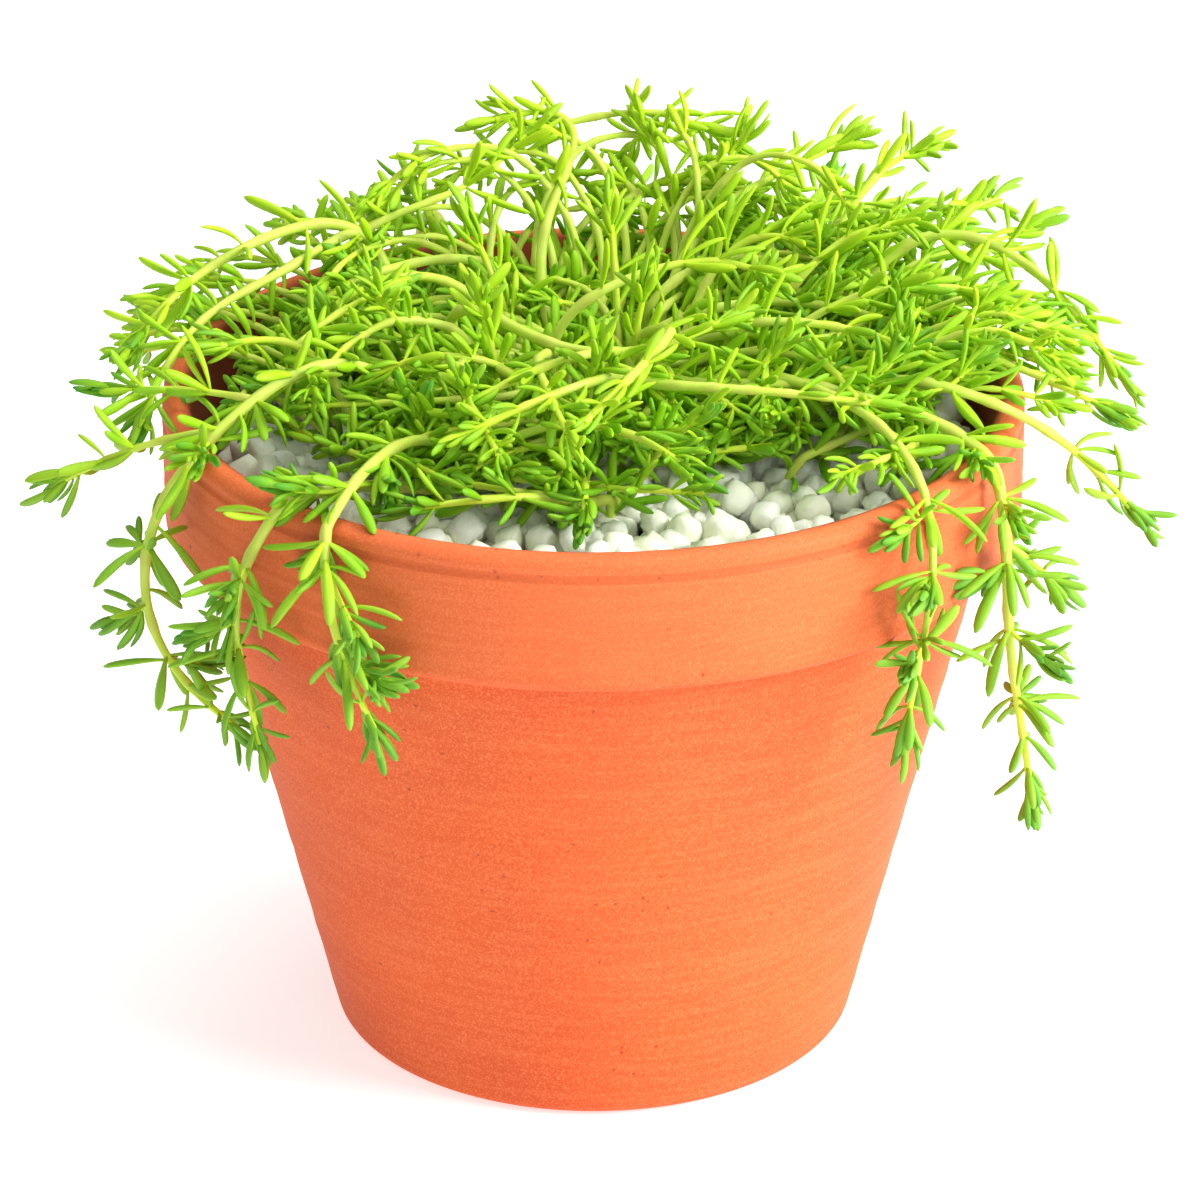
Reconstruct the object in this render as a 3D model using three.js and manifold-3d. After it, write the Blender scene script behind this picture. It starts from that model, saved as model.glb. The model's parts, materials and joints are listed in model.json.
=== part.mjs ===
// A trailing sedum in a clay pot: the pot, its soil, a top layer of white stones and the shoots.
// Millimetres, +Z up, the pot stands on z = 0 with its axis on the Z axis, and its front is -Y.
import * as THREE from 'three';
import { mergeVertices } from 'three/addons/utils/BufferGeometryUtils.js';
import Module from 'manifold-3d';

const wasm = await Module();
wasm.setup();

// ---------------------------------------------------------------- driving dimensions

// Clay pot
const potHeight = 122;
const rimRadius = 76;
const collarHeight = 25;
const collarStep = 6;
const baseRadius = 47.5;
const rimWall = 5;
const footWall = 5;
const floorThickness = 7;
const drainRadius = 8;
const lipRound = 2;
const footRound = 3;
const potSides = 36;

// Filling
const gravelBelowRim = 8;
const gravelDepth = 9;
const stoneRadius = 4;
const stoneSpacing = 15;
const stoneRingStart = 36;

// Shoots
const stemRadius = 1.15;
const stemSides = 4;
const stemStep = 3;
const rootRise = 3;
const leafLength = 10;
const leafWidth = 2.4;
const leafThickness = 1.7;
const leafSides = 3;
const leafWidestAt = 0.55;
const leafNodeSpacing = 18;
const leavesPerNode = 3;
const leafLean = 58;
const tipLeaves = 5;
const tipLeafLength = 7.5;
const tipLeafLean = 38;
const leafSetBack = 1.5;

// Clearances
const fitGap = 0.3;
const stemGap = 0.6;
const settleRounds = 60;

// ---------------------------------------------------------------- small helpers

const group = new THREE.Group();
group.name = 'potted_sedum';

const clay = { color: 0xd9713f, roughness: 0.85, metalness: 0 };
const earth = { color: 0x3a2a1e, roughness: 1, metalness: 0 };
const stone = { color: 0xdfe1d3, roughness: 0.7, metalness: 0 };
const leafGreen = { color: 0x7fbf3a, roughness: 0.5, metalness: 0 };

function addPiece(name, geometry, finish) {
  const mesh = new THREE.Mesh(geometry, new THREE.MeshStandardMaterial(finish));
  mesh.name = name;
  group.add(mesh);
}

// A repeatable number from 0 to 1 for a whole number.
function scatter(index) {
  const value = Math.sin(index * 12.9898 + 4.1414) * 43758.5453;
  return value - Math.floor(value);
}

function signedVolume(geometry) {
  const p = geometry.getAttribute('position');
  const index = geometry.getIndex();
  const [a, b, c] = [new THREE.Vector3(), new THREE.Vector3(), new THREE.Vector3()];
  let total = 0;
  for (let i = 0; i < index.count; i += 3) {
    a.fromBufferAttribute(p, index.getX(i));
    b.fromBufferAttribute(p, index.getX(i + 1));
    c.fromBufferAttribute(p, index.getX(i + 2));
    total += a.dot(b.cross(c)) / 6;
  }
  return total;
}

// A closed geometry as a solid, with its faces pointing out.
function toSolid(geometry) {
  const bare = geometry.clone();
  bare.deleteAttribute('normal');
  bare.deleteAttribute('uv');
  const merged = mergeVertices(bare, 1e-4);
  const triVerts = new Uint32Array(merged.getIndex().array);
  if (signedVolume(merged) < 0) {
    for (let i = 0; i < triVerts.length; i += 3) {
      [triVerts[i], triVerts[i + 1]] = [triVerts[i + 1], triVerts[i]];
    }
  }
  const vertProperties = new Float32Array(merged.getAttribute('position').array);
  return new wasm.Manifold(new wasm.Mesh({ numProp: 3, vertProperties, triVerts }));
}

function toGeometry(solid) {
  const { vertProperties, triVerts } = solid.getMesh();
  const geometry = new THREE.BufferGeometry();
  geometry.setAttribute('position', new THREE.BufferAttribute(vertProperties, 3));
  geometry.setIndex(new THREE.BufferAttribute(triVerts, 1));
  return geometry;
}

function turned(profile, sides) {
  const geometry = new THREE.LatheGeometry(profile.map(([r, z]) => new THREE.Vector2(r, z)), sides);
  geometry.rotateX(Math.PI / 2);
  return toSolid(geometry);
}

// ---------------------------------------------------------------- clay pot

const bodyTopRadius = rimRadius - collarStep;
const collarFoot = potHeight - collarHeight;
const innerTopRadius = rimRadius - rimWall;
const innerFloorRadius = baseRadius - footWall;

// Radius of the inner wall at a height.
function innerRadius(z) {
  const share = (z - floorThickness) / (potHeight - floorThickness);
  return innerFloorRadius + (innerTopRadius - innerFloorRadius) * share;
}

// Radius of the outer wall at a height.
function outerRadius(z) {
  if (z >= collarFoot) return rimRadius;
  return baseRadius + (bodyTopRadius - baseRadius) * Math.max(0, z) / collarFoot;
}

function arcPoints(centre, radius, from, to, steps) {
  const points = [];
  for (let i = 0; i <= steps; i += 1) {
    const angle = THREE.MathUtils.degToRad(from + (to - from) * i / steps);
    points.push([centre[0] + radius * Math.cos(angle), centre[1] + radius * Math.sin(angle)]);
  }
  return points;
}

function makePot() {
  const lip = Math.min(lipRound, rimWall / 2 - 0.2);
  const step = Math.min(lipRound, collarStep / 2);
  const profile = [
    [drainRadius, 0],
    ...arcPoints([baseRadius - footRound, footRound], footRound, -90, -10, 2),
    [outerRadius(collarFoot - 0.01), collarFoot],
    ...arcPoints([rimRadius - step, collarFoot + step], step, -90, 0, 2),
    ...arcPoints([rimRadius - lip, potHeight - lip], lip, 0, 90, 2),
    ...arcPoints([innerTopRadius + lip, potHeight - lip], lip, 90, 180, 2),
    [innerFloorRadius, floorThickness],
    [drainRadius, floorThickness],
    [drainRadius, 0],
  ];
  return turned(profile, potSides);
}

addPiece('terracotta_pot', toGeometry(makePot()), clay);

// ---------------------------------------------------------------- soil

const gravelTop = potHeight - gravelBelowRim;
const soilTop = gravelTop - gravelDepth;
// A many-sided filling is measured across its corners, so it is drawn in by the wall's own flats.
const flats = Math.cos(Math.PI / potSides);

function filling(bottom, top) {
  return [
    [0, bottom],
    [(innerRadius(bottom) - fitGap) * flats, bottom],
    [(innerRadius(top) - fitGap) * flats, top],
    [0, top],
  ];
}

addPiece('potting_soil', toGeometry(turned(filling(floorThickness + fitGap, soilTop), potSides)), earth);

// ---------------------------------------------------------------- shoots: where they run

// Each place on a shoot is [bearing, reach, lift]: degrees round the pot from the front, positive
// to the right; distance from the axis as a share of the rim's radius; millimetres above the rim.
// A shoot leaves the stones at its root, [bearing, reach], and each branch leaves its numbered place.
const shoots = [
  {
    name: 'shoot_left_arch', root: [-120, 0.46],
    route: [[-124, 0.58, 13], [-127, 0.66, 21], [-116, 0.74, 21], [-104, 0.84, 20], [-94, 0.93, 18],
      [-87, 1.02, 15], [-84, 1.07, 10]],
    branches: [
      { from: 1, route: [[-132, 0.59, 23], [-140, 0.53, 21], [-150, 0.55, 23], [-160, 0.58, 27], [-167, 0.61, 32]] },
      { from: 1, route: [[-116, 0.69, 17], [-105, 0.74, 15], [-96, 0.81, 15], [-89, 0.90, 14], [-84, 0.97, 11],
        [-79, 1.03, 6], [-75, 1.06, 1]] },
    ],
  },
  {
    name: 'shoot_left_trailing', root: [-60, 0.42],
    route: [[-66, 0.50, 10], [-68, 0.60, 14], [-65, 0.73, 13], [-63, 0.86, 10], [-61, 0.96, 6], [-61, 1.05, 2],
      [-62, 1.11, -5], [-63, 1.15, -13], [-63, 1.16, -22], [-62, 1.15, -30], [-59, 1.12, -37], [-54, 1.08, -41],
      [-50, 1.05, -43]],
    branches: [
      { from: 3, route: [[-69, 0.94, 10], [-72, 1.04, 9], [-75, 1.13, 8]] },
      { from: 4, route: [[-66, 1.05, 4], [-70, 1.14, 0], [-73, 1.22, -5], [-75, 1.27, -9]] },
    ],
  },
  {
    name: 'shoot_left_front_trailing', root: [-36, 0.60],
    route: [[-38, 0.74, 0], [-40, 0.88, 3], [-42, 0.99, 3], [-44, 1.06, -2], [-46, 1.09, -9], [-48, 1.10, -17],
      [-48, 1.09, -25], [-46, 1.07, -34], [-45, 1.06, -43]],
  },
  {
    name: 'shoot_front_left_trailing', root: [-40, 0.44],
    route: [[-38, 0.58, 6], [-37, 0.76, 8], [-36, 0.92, 6], [-35, 1.03, 2], [-34, 1.07, -5], [-34, 1.07, -13],
      [-32, 1.06, -21], [-30, 1.05, -27], [-28, 1.03, -35]],
    branches: [{ from: 4, route: [[-31, 1.09, -10], [-28, 1.10, -15]] }],
  },
  {
    name: 'shoot_left_inner', root: [-60, 0.62],
    route: [[-64, 0.61, 1], [-68, 0.60, 7], [-74, 0.61, 12], [-79, 0.67, 16], [-78, 0.76, 16], [-75, 0.88, 14]],
    branches: [{ from: 3, route: [[-85, 0.56, 18], [-93, 0.47, 17]] }],
  },
  { name: 'shoot_left_short', root: [-86, 0.46], route: [[-90, 0.55, 6], [-95, 0.62, 11]] },
  {
    name: 'shoot_back_arch', root: [-160, 0.24],
    route: [[-158, 0.40, 13], [-170, 0.51, 22], [180, 0.59, 29], [179, 0.63, 34], [-174, 0.64, 36],
      [-166, 0.65, 35], [-159, 0.65, 32]],
    branches: [{ from: 3, route: [[171, 0.65, 36], [163, 0.66, 36], [157, 0.68, 33], [154, 0.69, 28]] }],
  },
  { name: 'shoot_back_curl', root: [152, 0.42], route: [[157, 0.54, 14], [160, 0.60, 24], [164, 0.62, 30],
    [169, 0.59, 32]] },
  {
    name: 'shoot_back_right_long', root: [150, 0.26],
    route: [[149, 0.38, 14], [147, 0.50, 20], [142, 0.63, 23], [137, 0.77, 26], [135, 0.87, 28]],
  },
  { name: 'shoot_back_right_upright', root: [160, 0.50], route: [[156, 0.57, 16], [151, 0.63, 26], [147, 0.67, 31]] },
  { name: 'shoot_right_upright', root: [122, 0.55], route: [[125, 0.68, 14], [127, 0.79, 23], [128, 0.88, 28],
    [126, 0.98, 28]] },
  {
    name: 'shoot_right_arch', root: [112, 0.58],
    route: [[113, 0.74, 18], [111, 0.86, 22], [106, 0.96, 21], [101, 1.05, 17], [97, 1.12, 11], [94, 1.18, 5],
      [92, 1.22, 1]],
    branches: [{ from: 1, route: [[115, 0.97, 22], [114, 1.04, 22]] }],
  },
  {
    name: 'shoot_right_crossing', root: [130, 0.24],
    route: [[134, 0.38, 17], [129, 0.48, 23], [120, 0.53, 22], [111, 0.56, 19]],
    branches: [{ from: 2, route: [[115, 0.63, 23], [112, 0.70, 22]] }],
  },
  {
    name: 'shoot_right_trailing', root: [50, 0.22],
    route: [[54, 0.32, 10], [55, 0.44, 11], [56, 0.57, 9], [59, 0.70, 9], [61, 0.82, 8], [62, 0.93, 6],
      [62, 1.02, 2], [62, 1.06, -5], [61, 1.07, -13], [61, 1.07, -23], [61, 1.07, -33], [62, 1.09, -43],
      [63, 1.12, -52], [63, 1.13, -62]],
    branches: [
      { from: 2, route: [[54, 0.72, 10], [51, 0.86, 9], [48, 0.97, 6], [46, 1.05, 1], [45, 1.08, -6],
        [45, 1.08, -14], [43, 1.07, -22], [42, 1.07, -30], [41, 1.06, -40]] },
      { from: 8, route: [[65, 1.10, -19], [68, 1.15, -25]] },
    ],
  },
  {
    name: 'shoot_right_reaching', root: [70, 0.48],
    route: [[69, 0.66, 11], [68, 0.83, 10], [70, 0.97, 7], [73, 1.08, 2], [76, 1.16, -5], [78, 1.23, -12],
      [78, 1.28, -17]],
  },
  {
    name: 'shoot_right_low', root: [84, 0.50],
    route: [[84, 0.70, 9], [84, 0.88, 9], [83, 1.02, 6], [83, 1.12, 2], [83, 1.20, -1]],
  },
  { name: 'shoot_right_inner', root: [60, 0.42], route: [[67, 0.58, 9], [73, 0.68, 12], [77, 0.78, 12]] },
  { name: 'shoot_right_shoulder', root: [96, 0.48], route: [[98, 0.68, 15], [97, 0.84, 17], [95, 0.97, 13],
    [93, 1.06, 8]] },
  { name: 'shoot_right_mound', root: [80, 0.30], route: [[83, 0.46, 14], [87, 0.62, 19], [89, 0.76, 19]] },
  { name: 'shoot_right_back_mound', root: [106, 0.34], route: [[108, 0.52, 19], [107, 0.66, 25], [104, 0.76, 25]] },
  {
    name: 'shoot_top_long', root: [-60, 0.10],
    route: [[-56, 0.16, 10], [-46, 0.11, 17], [60, 0.06, 20], [94, 0.16, 22], [95, 0.26, 24], [89, 0.36, 24],
      [83, 0.43, 21]],
  },
  {
    name: 'shoot_front_arch', root: [-118, 0.36],
    route: [[-104, 0.38, 12], [-92, 0.30, 16], [-72, 0.24, 15], [-38, 0.24, 14], [-10, 0.28, 13], [20, 0.31, 14],
      [44, 0.34, 16], [62, 0.37, 18]],
  },
  {
    name: 'shoot_front_low', root: [-32, 0.46],
    route: [[-24, 0.55, 6], [-9, 0.52, 10], [5, 0.51, 10], [13, 0.58, 8], [18, 0.68, 5]],
  },
  { name: 'shoot_front_creeping', root: [4, 0.54], route: [[-4, 0.66, 1], [-12, 0.73, 3], [-20, 0.79, 2],
    [-28, 0.85, 1]] },
  { name: 'shoot_front_short', root: [-6, 0.40], route: [[-4, 0.52, 0], [-1, 0.64, 1], [-2, 0.74, -2]] },
  { name: 'shoot_front_left_tuft', root: [-44, 0.50], route: [[-43, 0.54, 0], [-42, 0.60, 9]] },
  { name: 'shoot_back_left_trailing', root: [-148, 0.56], route: [[-150, 0.70, 10], [-153, 0.85, 11],
    [-155, 0.98, 7], [-156, 1.06, 0], [-156, 1.08, -9], [-155, 1.08, -19], [-153, 1.07, -28]] },
  { name: 'shoot_back_leaning', root: [172, 0.56], route: [[173, 0.70, 11], [174, 0.82, 13], [175, 0.93, 10]] },
  { name: 'shoot_back_right_trailing', root: [140, 0.56], route: [[143, 0.74, 12], [145, 0.89, 12], [147, 1.01, 7],
    [148, 1.07, -1], [148, 1.08, -11], [149, 1.08, -21], [151, 1.07, -30]] },
  { name: 'shoot_back_left_low', root: [-112, 0.60], route: [[-114, 0.76, 5], [-115, 0.89, 7], [-115, 1.00, 5],
    [-115, 1.07, -1], [-114, 1.08, -9]] },
];

// Short upright shoots fill the crown between the long ones, each a golden angle on from the last.
const crownShoots = 14;
const crownReachStart = 0.1;
const crownReachEnd = 0.56;
const crownHeight = 26;
const crownEdgeHeight = 12;
const goldenAngle = 137.508;

for (let i = 0; i < crownShoots; i += 1) {
  const share = (i + 0.5) / crownShoots;
  const reach = crownReachStart + (crownReachEnd - crownReachStart) * Math.sqrt(share);
  const height = crownHeight + (crownEdgeHeight - crownHeight) * share;
  const bearing = (i * goldenAngle + 25) % 360;
  shoots.push({
    name: `crown_shoot_${String(i + 1).padStart(2, '0')}`,
    root: [bearing, reach * 0.8],
    route: [[bearing + 4, reach * 0.95, height * 0.45], [bearing + 10, reach * 1.15, height]],
  });
}

// ---------------------------------------------------------------- shoots: smooth routes

function place([bearing, reach, lift]) {
  const angle = THREE.MathUtils.degToRad(bearing);
  const radius = reach * rimRadius;
  return new THREE.Vector3(radius * Math.sin(angle), -radius * Math.cos(angle), potHeight + lift);
}

// Points about stemStep apart on a smooth line through the places given.
function smoothLine(places) {
  const points = [places[0].clone()];
  for (let i = 0; i + 1 < places.length; i += 1) {
    const before = places[Math.max(i - 1, 0)];
    const start = places[i];
    const end = places[i + 1];
    const after = places[Math.min(i + 2, places.length - 1)];
    const pieces = Math.max(1, Math.round(start.distanceTo(end) / stemStep));
    for (let j = 1; j <= pieces; j += 1) {
      const t = j / pieces;
      const point = new THREE.Vector3();
      point.addScaledVector(before, -0.5 * t + t * t - 0.5 * t * t * t);
      point.addScaledVector(start, 1 - 2.5 * t * t + 1.5 * t * t * t);
      point.addScaledVector(end, 0.5 * t + 2 * t * t - 1.5 * t * t * t);
      point.addScaledVector(after, -0.5 * t * t + 0.5 * t * t * t);
      points.push(point);
    }
  }
  return points;
}

// All the runs of stem: { shoot, points, fixed }. The first point of a branch stays on its parent.
const runs = [];
for (const shoot of shoots) {
  const root = place([...shoot.root, fitGap - gravelBelowRim]);
  const places = [root, root.clone().setZ(root.z + rootRise), ...shoot.route.map(place)];
  const main = { shoot, points: smoothLine(places), parent: null };
  runs.push(main);
  for (const branch of shoot.branches ?? []) {
    const start = place(shoot.route[branch.from]);
    const near = main.points.reduce((best, p, i) => (
      p.distanceTo(start) < main.points[best].distanceTo(start) ? i : best), 0);
    const points = smoothLine([start, ...branch.route.map(place)]);
    runs.push({ shoot, points, parent: { run: main, index: near } });
  }
}

// How far a point must move to clear the pot's wall and rim by a margin, as a change of [r, z].
function wallPush(radius, z, margin) {
  const above = potHeight + margin - z;
  const outside = outerRadius(z) + margin - radius;
  const inside = radius - (innerRadius(z) - margin);
  if (above <= 0 || outside <= 0 || inside <= 0) return [0, 0];
  const least = Math.min(above, outside, inside);
  if (least === above) return [0, above];
  return least === outside ? [outside, 0] : [-inside, 0];
}

const stemSpace = 2 * stemRadius + stemGap;
// Points are stemStep apart, so two stems that cross between points are this far from point to point.
const pointSpace = Math.hypot(stemSpace, 0.7 * stemStep);

// A root and the straight rise from it stay where they are, and a branch's start stays on its parent.
function isFree(run, index) {
  return run.parent ? index > 0 : index > 1;
}

// Each point is drawn a little towards the middle of its neighbours, so no stem kinks.
function smoothRun(run) {
  if (run.parent) run.points[0].copy(run.parent.run.points[run.parent.index]);
  const before = run.points.map((p) => p.clone());
  for (let i = 1; i + 1 < run.points.length; i += 1) {
    const middle = before[i - 1].clone().add(before[i + 1]).multiplyScalar(0.5);
    if (isFree(run, i)) run.points[i].lerp(middle, 0.2);
  }
}

// Moves a point clear of the pot and up off the stones.
function clearPot(point) {
  const margin = stemRadius + stemGap;
  const radius = Math.hypot(point.x, point.y);
  const [dr, dz] = wallPush(radius, point.z, margin);
  const scale = (radius + dr) / Math.max(radius, 1);
  point.set(point.x * scale, point.y * scale, point.z + dz);
  if (radius + dr < innerTopRadius) point.z = Math.max(point.z, gravelTop + margin);
}

// Stems that cross are moved apart, and off the pot, until they all clear each other.
function settle() {
  const all = [];
  for (const run of runs) {
    run.points.forEach((point, index) => all.push({ run, index, point, move: new THREE.Vector3() }));
  }
  const difference = new THREE.Vector3();
  for (let round = 0; round < settleRounds; round += 1) {
    for (const item of all) item.move.set(0, 0, 0);
    for (let i = 0; i < all.length; i += 1) {
      for (let j = i + 1; j < all.length; j += 1) {
        if (all[i].run.shoot === all[j].run.shoot) continue;
        difference.subVectors(all[i].point, all[j].point);
        const distance = difference.length();
        if (distance >= pointSpace) continue;
        difference.multiplyScalar((pointSpace - distance) / Math.max(distance, 0.01) / 2);
        all[i].move.add(difference);
        all[j].move.sub(difference);
      }
    }
    for (const { run, index, point, move } of all) {
      if (isFree(run, index)) point.add(move.clampLength(0, stemRadius));
    }
    for (const run of runs) smoothRun(run);
    for (const { run, index, point } of all) {
      if (isFree(run, index)) clearPot(point);
    }
  }
}

settle();

// ---------------------------------------------------------------- shoots: stems and leaves

// Shortest distance between two straight pieces.
function gapBetween(a, b, c, d) {
  const u = new THREE.Vector3().subVectors(b, a);
  const v = new THREE.Vector3().subVectors(d, c);
  const w = new THREE.Vector3().subVectors(a, c);
  const [uu, uv, vv, uw, vw] = [u.dot(u), u.dot(v), v.dot(v), u.dot(w), v.dot(w)];
  const det = uu * vv - uv * uv;
  let s = det > 1e-9 ? THREE.MathUtils.clamp((uv * vw - vv * uw) / det, 0, 1) : 0;
  const t = THREE.MathUtils.clamp((uv * s + vw) / Math.max(vv, 1e-9), 0, 1);
  s = THREE.MathUtils.clamp((uv * t - uw) / Math.max(uu, 1e-9), 0, 1);
  return w.addScaledVector(u, s).addScaledVector(v, -t).length();
}

const grownLeaves = [];
const leafRadius = leafWidth / 2;

// True when a leaf would touch another shoot, the pot or the stones.
function leafIsBlocked(shoot, base, tip) {
  for (const share of [0.4, 0.7, 1]) {
    const point = base.clone().lerp(tip, share);
    const radius = Math.hypot(point.x, point.y);
    const [dr, dz] = wallPush(radius, point.z, leafRadius + fitGap);
    if (dr !== 0 || dz !== 0) return true;
    if (radius < innerTopRadius && point.z < gravelTop + leafRadius + fitGap) return true;
  }
  const stemSpaceNeeded = stemRadius + leafRadius + fitGap;
  for (const run of runs) {
    if (run.shoot === shoot) continue;
    for (let i = 0; i + 1 < run.points.length; i += 1) {
      if (run.points[i].distanceTo(base) > leafLength + 3 * stemStep) continue;
      if (gapBetween(base, tip, run.points[i], run.points[i + 1]) < stemSpaceNeeded) return true;
    }
  }
  return grownLeaves.some((leaf) => leaf.shoot !== shoot
    && leaf.base.distanceTo(base) < 3 * leafLength
    && gapBetween(base, tip, leaf.base, leaf.tip) < 2 * leafRadius + fitGap);
}

function leafSolid(base, tip) {
  const length = base.distanceTo(tip);
  const profile = [[0, 0], [1, length * leafWidestAt], [0, length]];
  const geometry = new THREE.LatheGeometry(profile.map(([r, y]) => new THREE.Vector2(r, y)), leafSides);
  geometry.scale(leafWidth / 2, 1, leafThickness / 2);
  const along = new THREE.Vector3().subVectors(tip, base).normalize();
  geometry.applyQuaternion(new THREE.Quaternion().setFromUnitVectors(new THREE.Vector3(0, 1, 0), along));
  geometry.translate(base.x, base.y, base.z);
  return toSolid(geometry);
}

// Leaves stand round the stem, leaning towards its tip.
function whorl(run, index, count, length, lean, turn) {
  const points = run.points;
  const along = new THREE.Vector3().subVectors(
    points[Math.min(index + 1, points.length - 1)], points[Math.max(index - 1, 0)]).normalize();
  const side = new THREE.Vector3(0, 0, 1).cross(along);
  if (side.length() < 0.1) side.set(1, 0, 0);
  side.normalize();
  const up = along.clone().cross(side);
  const leanAngle = THREE.MathUtils.degToRad(lean);
  const solids = [];
  for (let i = 0; i < count; i += 1) {
    const angle = turn + i * 2 * Math.PI / count;
    const out = side.clone().multiplyScalar(Math.cos(angle)).addScaledVector(up, Math.sin(angle));
    const direction = along.clone().multiplyScalar(Math.cos(leanAngle)).addScaledVector(out, Math.sin(leanAngle));
    const base = points[index].clone().addScaledVector(along, -leafSetBack);
    const tip = points[index].clone().addScaledVector(direction, length);
    if (leafIsBlocked(run.shoot, base, tip)) continue;
    grownLeaves.push({ shoot: run.shoot, base, tip });
    solids.push(leafSolid(base, tip));
  }
  return solids;
}

function stemSolid(points) {
  const section = new THREE.Shape();
  for (let i = 0; i < stemSides; i += 1) {
    const angle = i * 2 * Math.PI / stemSides;
    const corner = [stemRadius * Math.cos(angle), stemRadius * Math.sin(angle)];
    if (i === 0) section.moveTo(...corner);
    else section.lineTo(...corner);
  }
  section.closePath();
  const extrudePath = new THREE.CatmullRomCurve3(points);
  const steps = Math.max(2, Math.round((points.length - 1) / 2));
  return toSolid(new THREE.ExtrudeGeometry(section, { steps, bevelEnabled: false, extrudePath }));
}

const nodeEvery = Math.max(1, Math.round(leafNodeSpacing / stemStep));

function makeShoot(shoot, number) {
  const solids = [];
  for (const run of runs.filter((r) => r.shoot === shoot)) {
    const last = run.points.length - 1;
    solids.push(stemSolid(run.points));
    solids.push(...whorl(run, last, tipLeaves, tipLeafLength, tipLeafLean, 0.3));
    for (let index = last - nodeEvery; index > 1; index -= nodeEvery) {
      const turn = 0.5 * (number + index);
      solids.push(...whorl(run, index, leavesPerNode, leafLength, leafLean, turn));
    }
  }
  return wasm.Manifold.union(solids);
}

shoots.forEach((shoot, number) => addPiece(shoot.name, toGeometry(makeShoot(shoot, number)), leafGreen));

// ---------------------------------------------------------------- white stones

// True when a stone at a place would touch a stem or a leaf.
function stoneIsBlocked(centre, radius) {
  const near = (point, other) => point.distanceTo(centre) < radius + other + fitGap;
  if (runs.some((run) => run.points.some((point) => near(point, stemRadius + 0.5)))) return true;
  return grownLeaves.some((leaf) => gapBetween(centre, centre, leaf.base, leaf.tip)
    < radius + leafRadius + fitGap);
}

function makeGravel() {
  const bed = turned(filling(soilTop + fitGap, gravelTop), potSides);
  const solids = [bed];
  // A stone lies clear of the wall at the level of its underside, where the pot is narrower.
  const outermost = (innerRadius(gravelTop - stoneRadius) - fitGap) * flats - stoneRadius * 1.1;
  for (let ring = stoneRingStart; ring <= outermost; ring += stoneSpacing) {
    const count = Math.floor(2 * Math.PI * ring / stoneSpacing);
    for (let i = 0; i < count; i += 1) {
      const seed = ring * 7 + i;
      const angle = 2 * Math.PI * (i + 0.6 * scatter(seed)) / count;
      const radius = stoneRadius * (0.8 + 0.3 * scatter(seed + 0.5));
      const centre = new THREE.Vector3(ring * Math.sin(angle), -ring * Math.cos(angle), gravelTop - 0.25 * radius);
      if (stoneIsBlocked(centre, radius)) continue;
      const geometry = new THREE.IcosahedronGeometry(radius);
      geometry.scale(1, 1, 0.8);
      geometry.rotateZ(6 * scatter(seed + 0.25));
      geometry.translate(centre.x, centre.y, centre.z);
      solids.push(toSolid(geometry));
    }
  }
  return wasm.Manifold.union(solids);
}

addPiece('white_gravel', toGeometry(makeGravel()), stone);

export default group;
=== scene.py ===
"""A trailing sedum in a clay pot, with soil, a top layer of white stones and leafy shoots."""
import json
import math
import random

import bmesh
import bpy
import numpy as np
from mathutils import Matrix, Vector

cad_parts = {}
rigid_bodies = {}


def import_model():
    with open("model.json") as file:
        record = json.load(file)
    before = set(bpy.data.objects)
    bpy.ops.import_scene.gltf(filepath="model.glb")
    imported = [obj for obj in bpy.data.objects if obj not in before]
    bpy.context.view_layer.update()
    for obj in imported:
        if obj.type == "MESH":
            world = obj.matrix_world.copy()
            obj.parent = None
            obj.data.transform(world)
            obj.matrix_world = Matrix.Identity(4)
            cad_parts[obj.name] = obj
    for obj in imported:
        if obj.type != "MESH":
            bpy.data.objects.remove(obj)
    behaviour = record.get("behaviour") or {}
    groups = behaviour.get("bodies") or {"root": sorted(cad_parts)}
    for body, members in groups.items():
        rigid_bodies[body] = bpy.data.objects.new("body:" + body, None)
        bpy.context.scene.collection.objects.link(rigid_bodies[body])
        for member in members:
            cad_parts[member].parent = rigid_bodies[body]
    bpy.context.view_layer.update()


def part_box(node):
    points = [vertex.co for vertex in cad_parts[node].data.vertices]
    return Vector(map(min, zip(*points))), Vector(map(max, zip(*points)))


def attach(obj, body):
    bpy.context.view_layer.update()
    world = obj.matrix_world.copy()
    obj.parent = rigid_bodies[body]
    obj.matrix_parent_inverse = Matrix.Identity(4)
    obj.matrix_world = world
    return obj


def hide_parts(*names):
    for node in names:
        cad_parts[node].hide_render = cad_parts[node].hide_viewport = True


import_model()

bl_info = {
    "name": "Potted sedum",
    "version": (1, 0, 0),
    "blender": (4, 5, 0),
    "location": "View3D > Sidebar > Sedum",
    "description": "Makes a trailing sedum in a clay pot",
    "category": "Add Mesh",
}

MM = 0.001
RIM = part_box("terracotta_pot")[1]
POT_HEIGHT = RIM.z
RIM_RADIUS = RIM.x
SOIL_LOW, SOIL_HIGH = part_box("potting_soil")
FIT_GAP = 0.3 * MM


# ---------------------------------------------------------------- settings


def metres(name, description, default, **more):
    """A setting in metres."""
    return bpy.props.FloatProperty(
        name=name, description=description, default=default, unit="LENGTH", **more)


def rgb(name, description, default):
    """A colour setting."""
    return bpy.props.FloatVectorProperty(
        name=name, description=description, default=default, subtype="COLOR", size=3, min=0, max=1)


def radians(name, description, default):
    """A setting in radians."""
    return bpy.props.FloatProperty(name=name, description=description, default=default, subtype="ANGLE")


def whole(name, description, default, least):
    """A setting that is a whole number."""
    return bpy.props.IntProperty(name=name, description=description, default=default, min=least)


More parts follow.
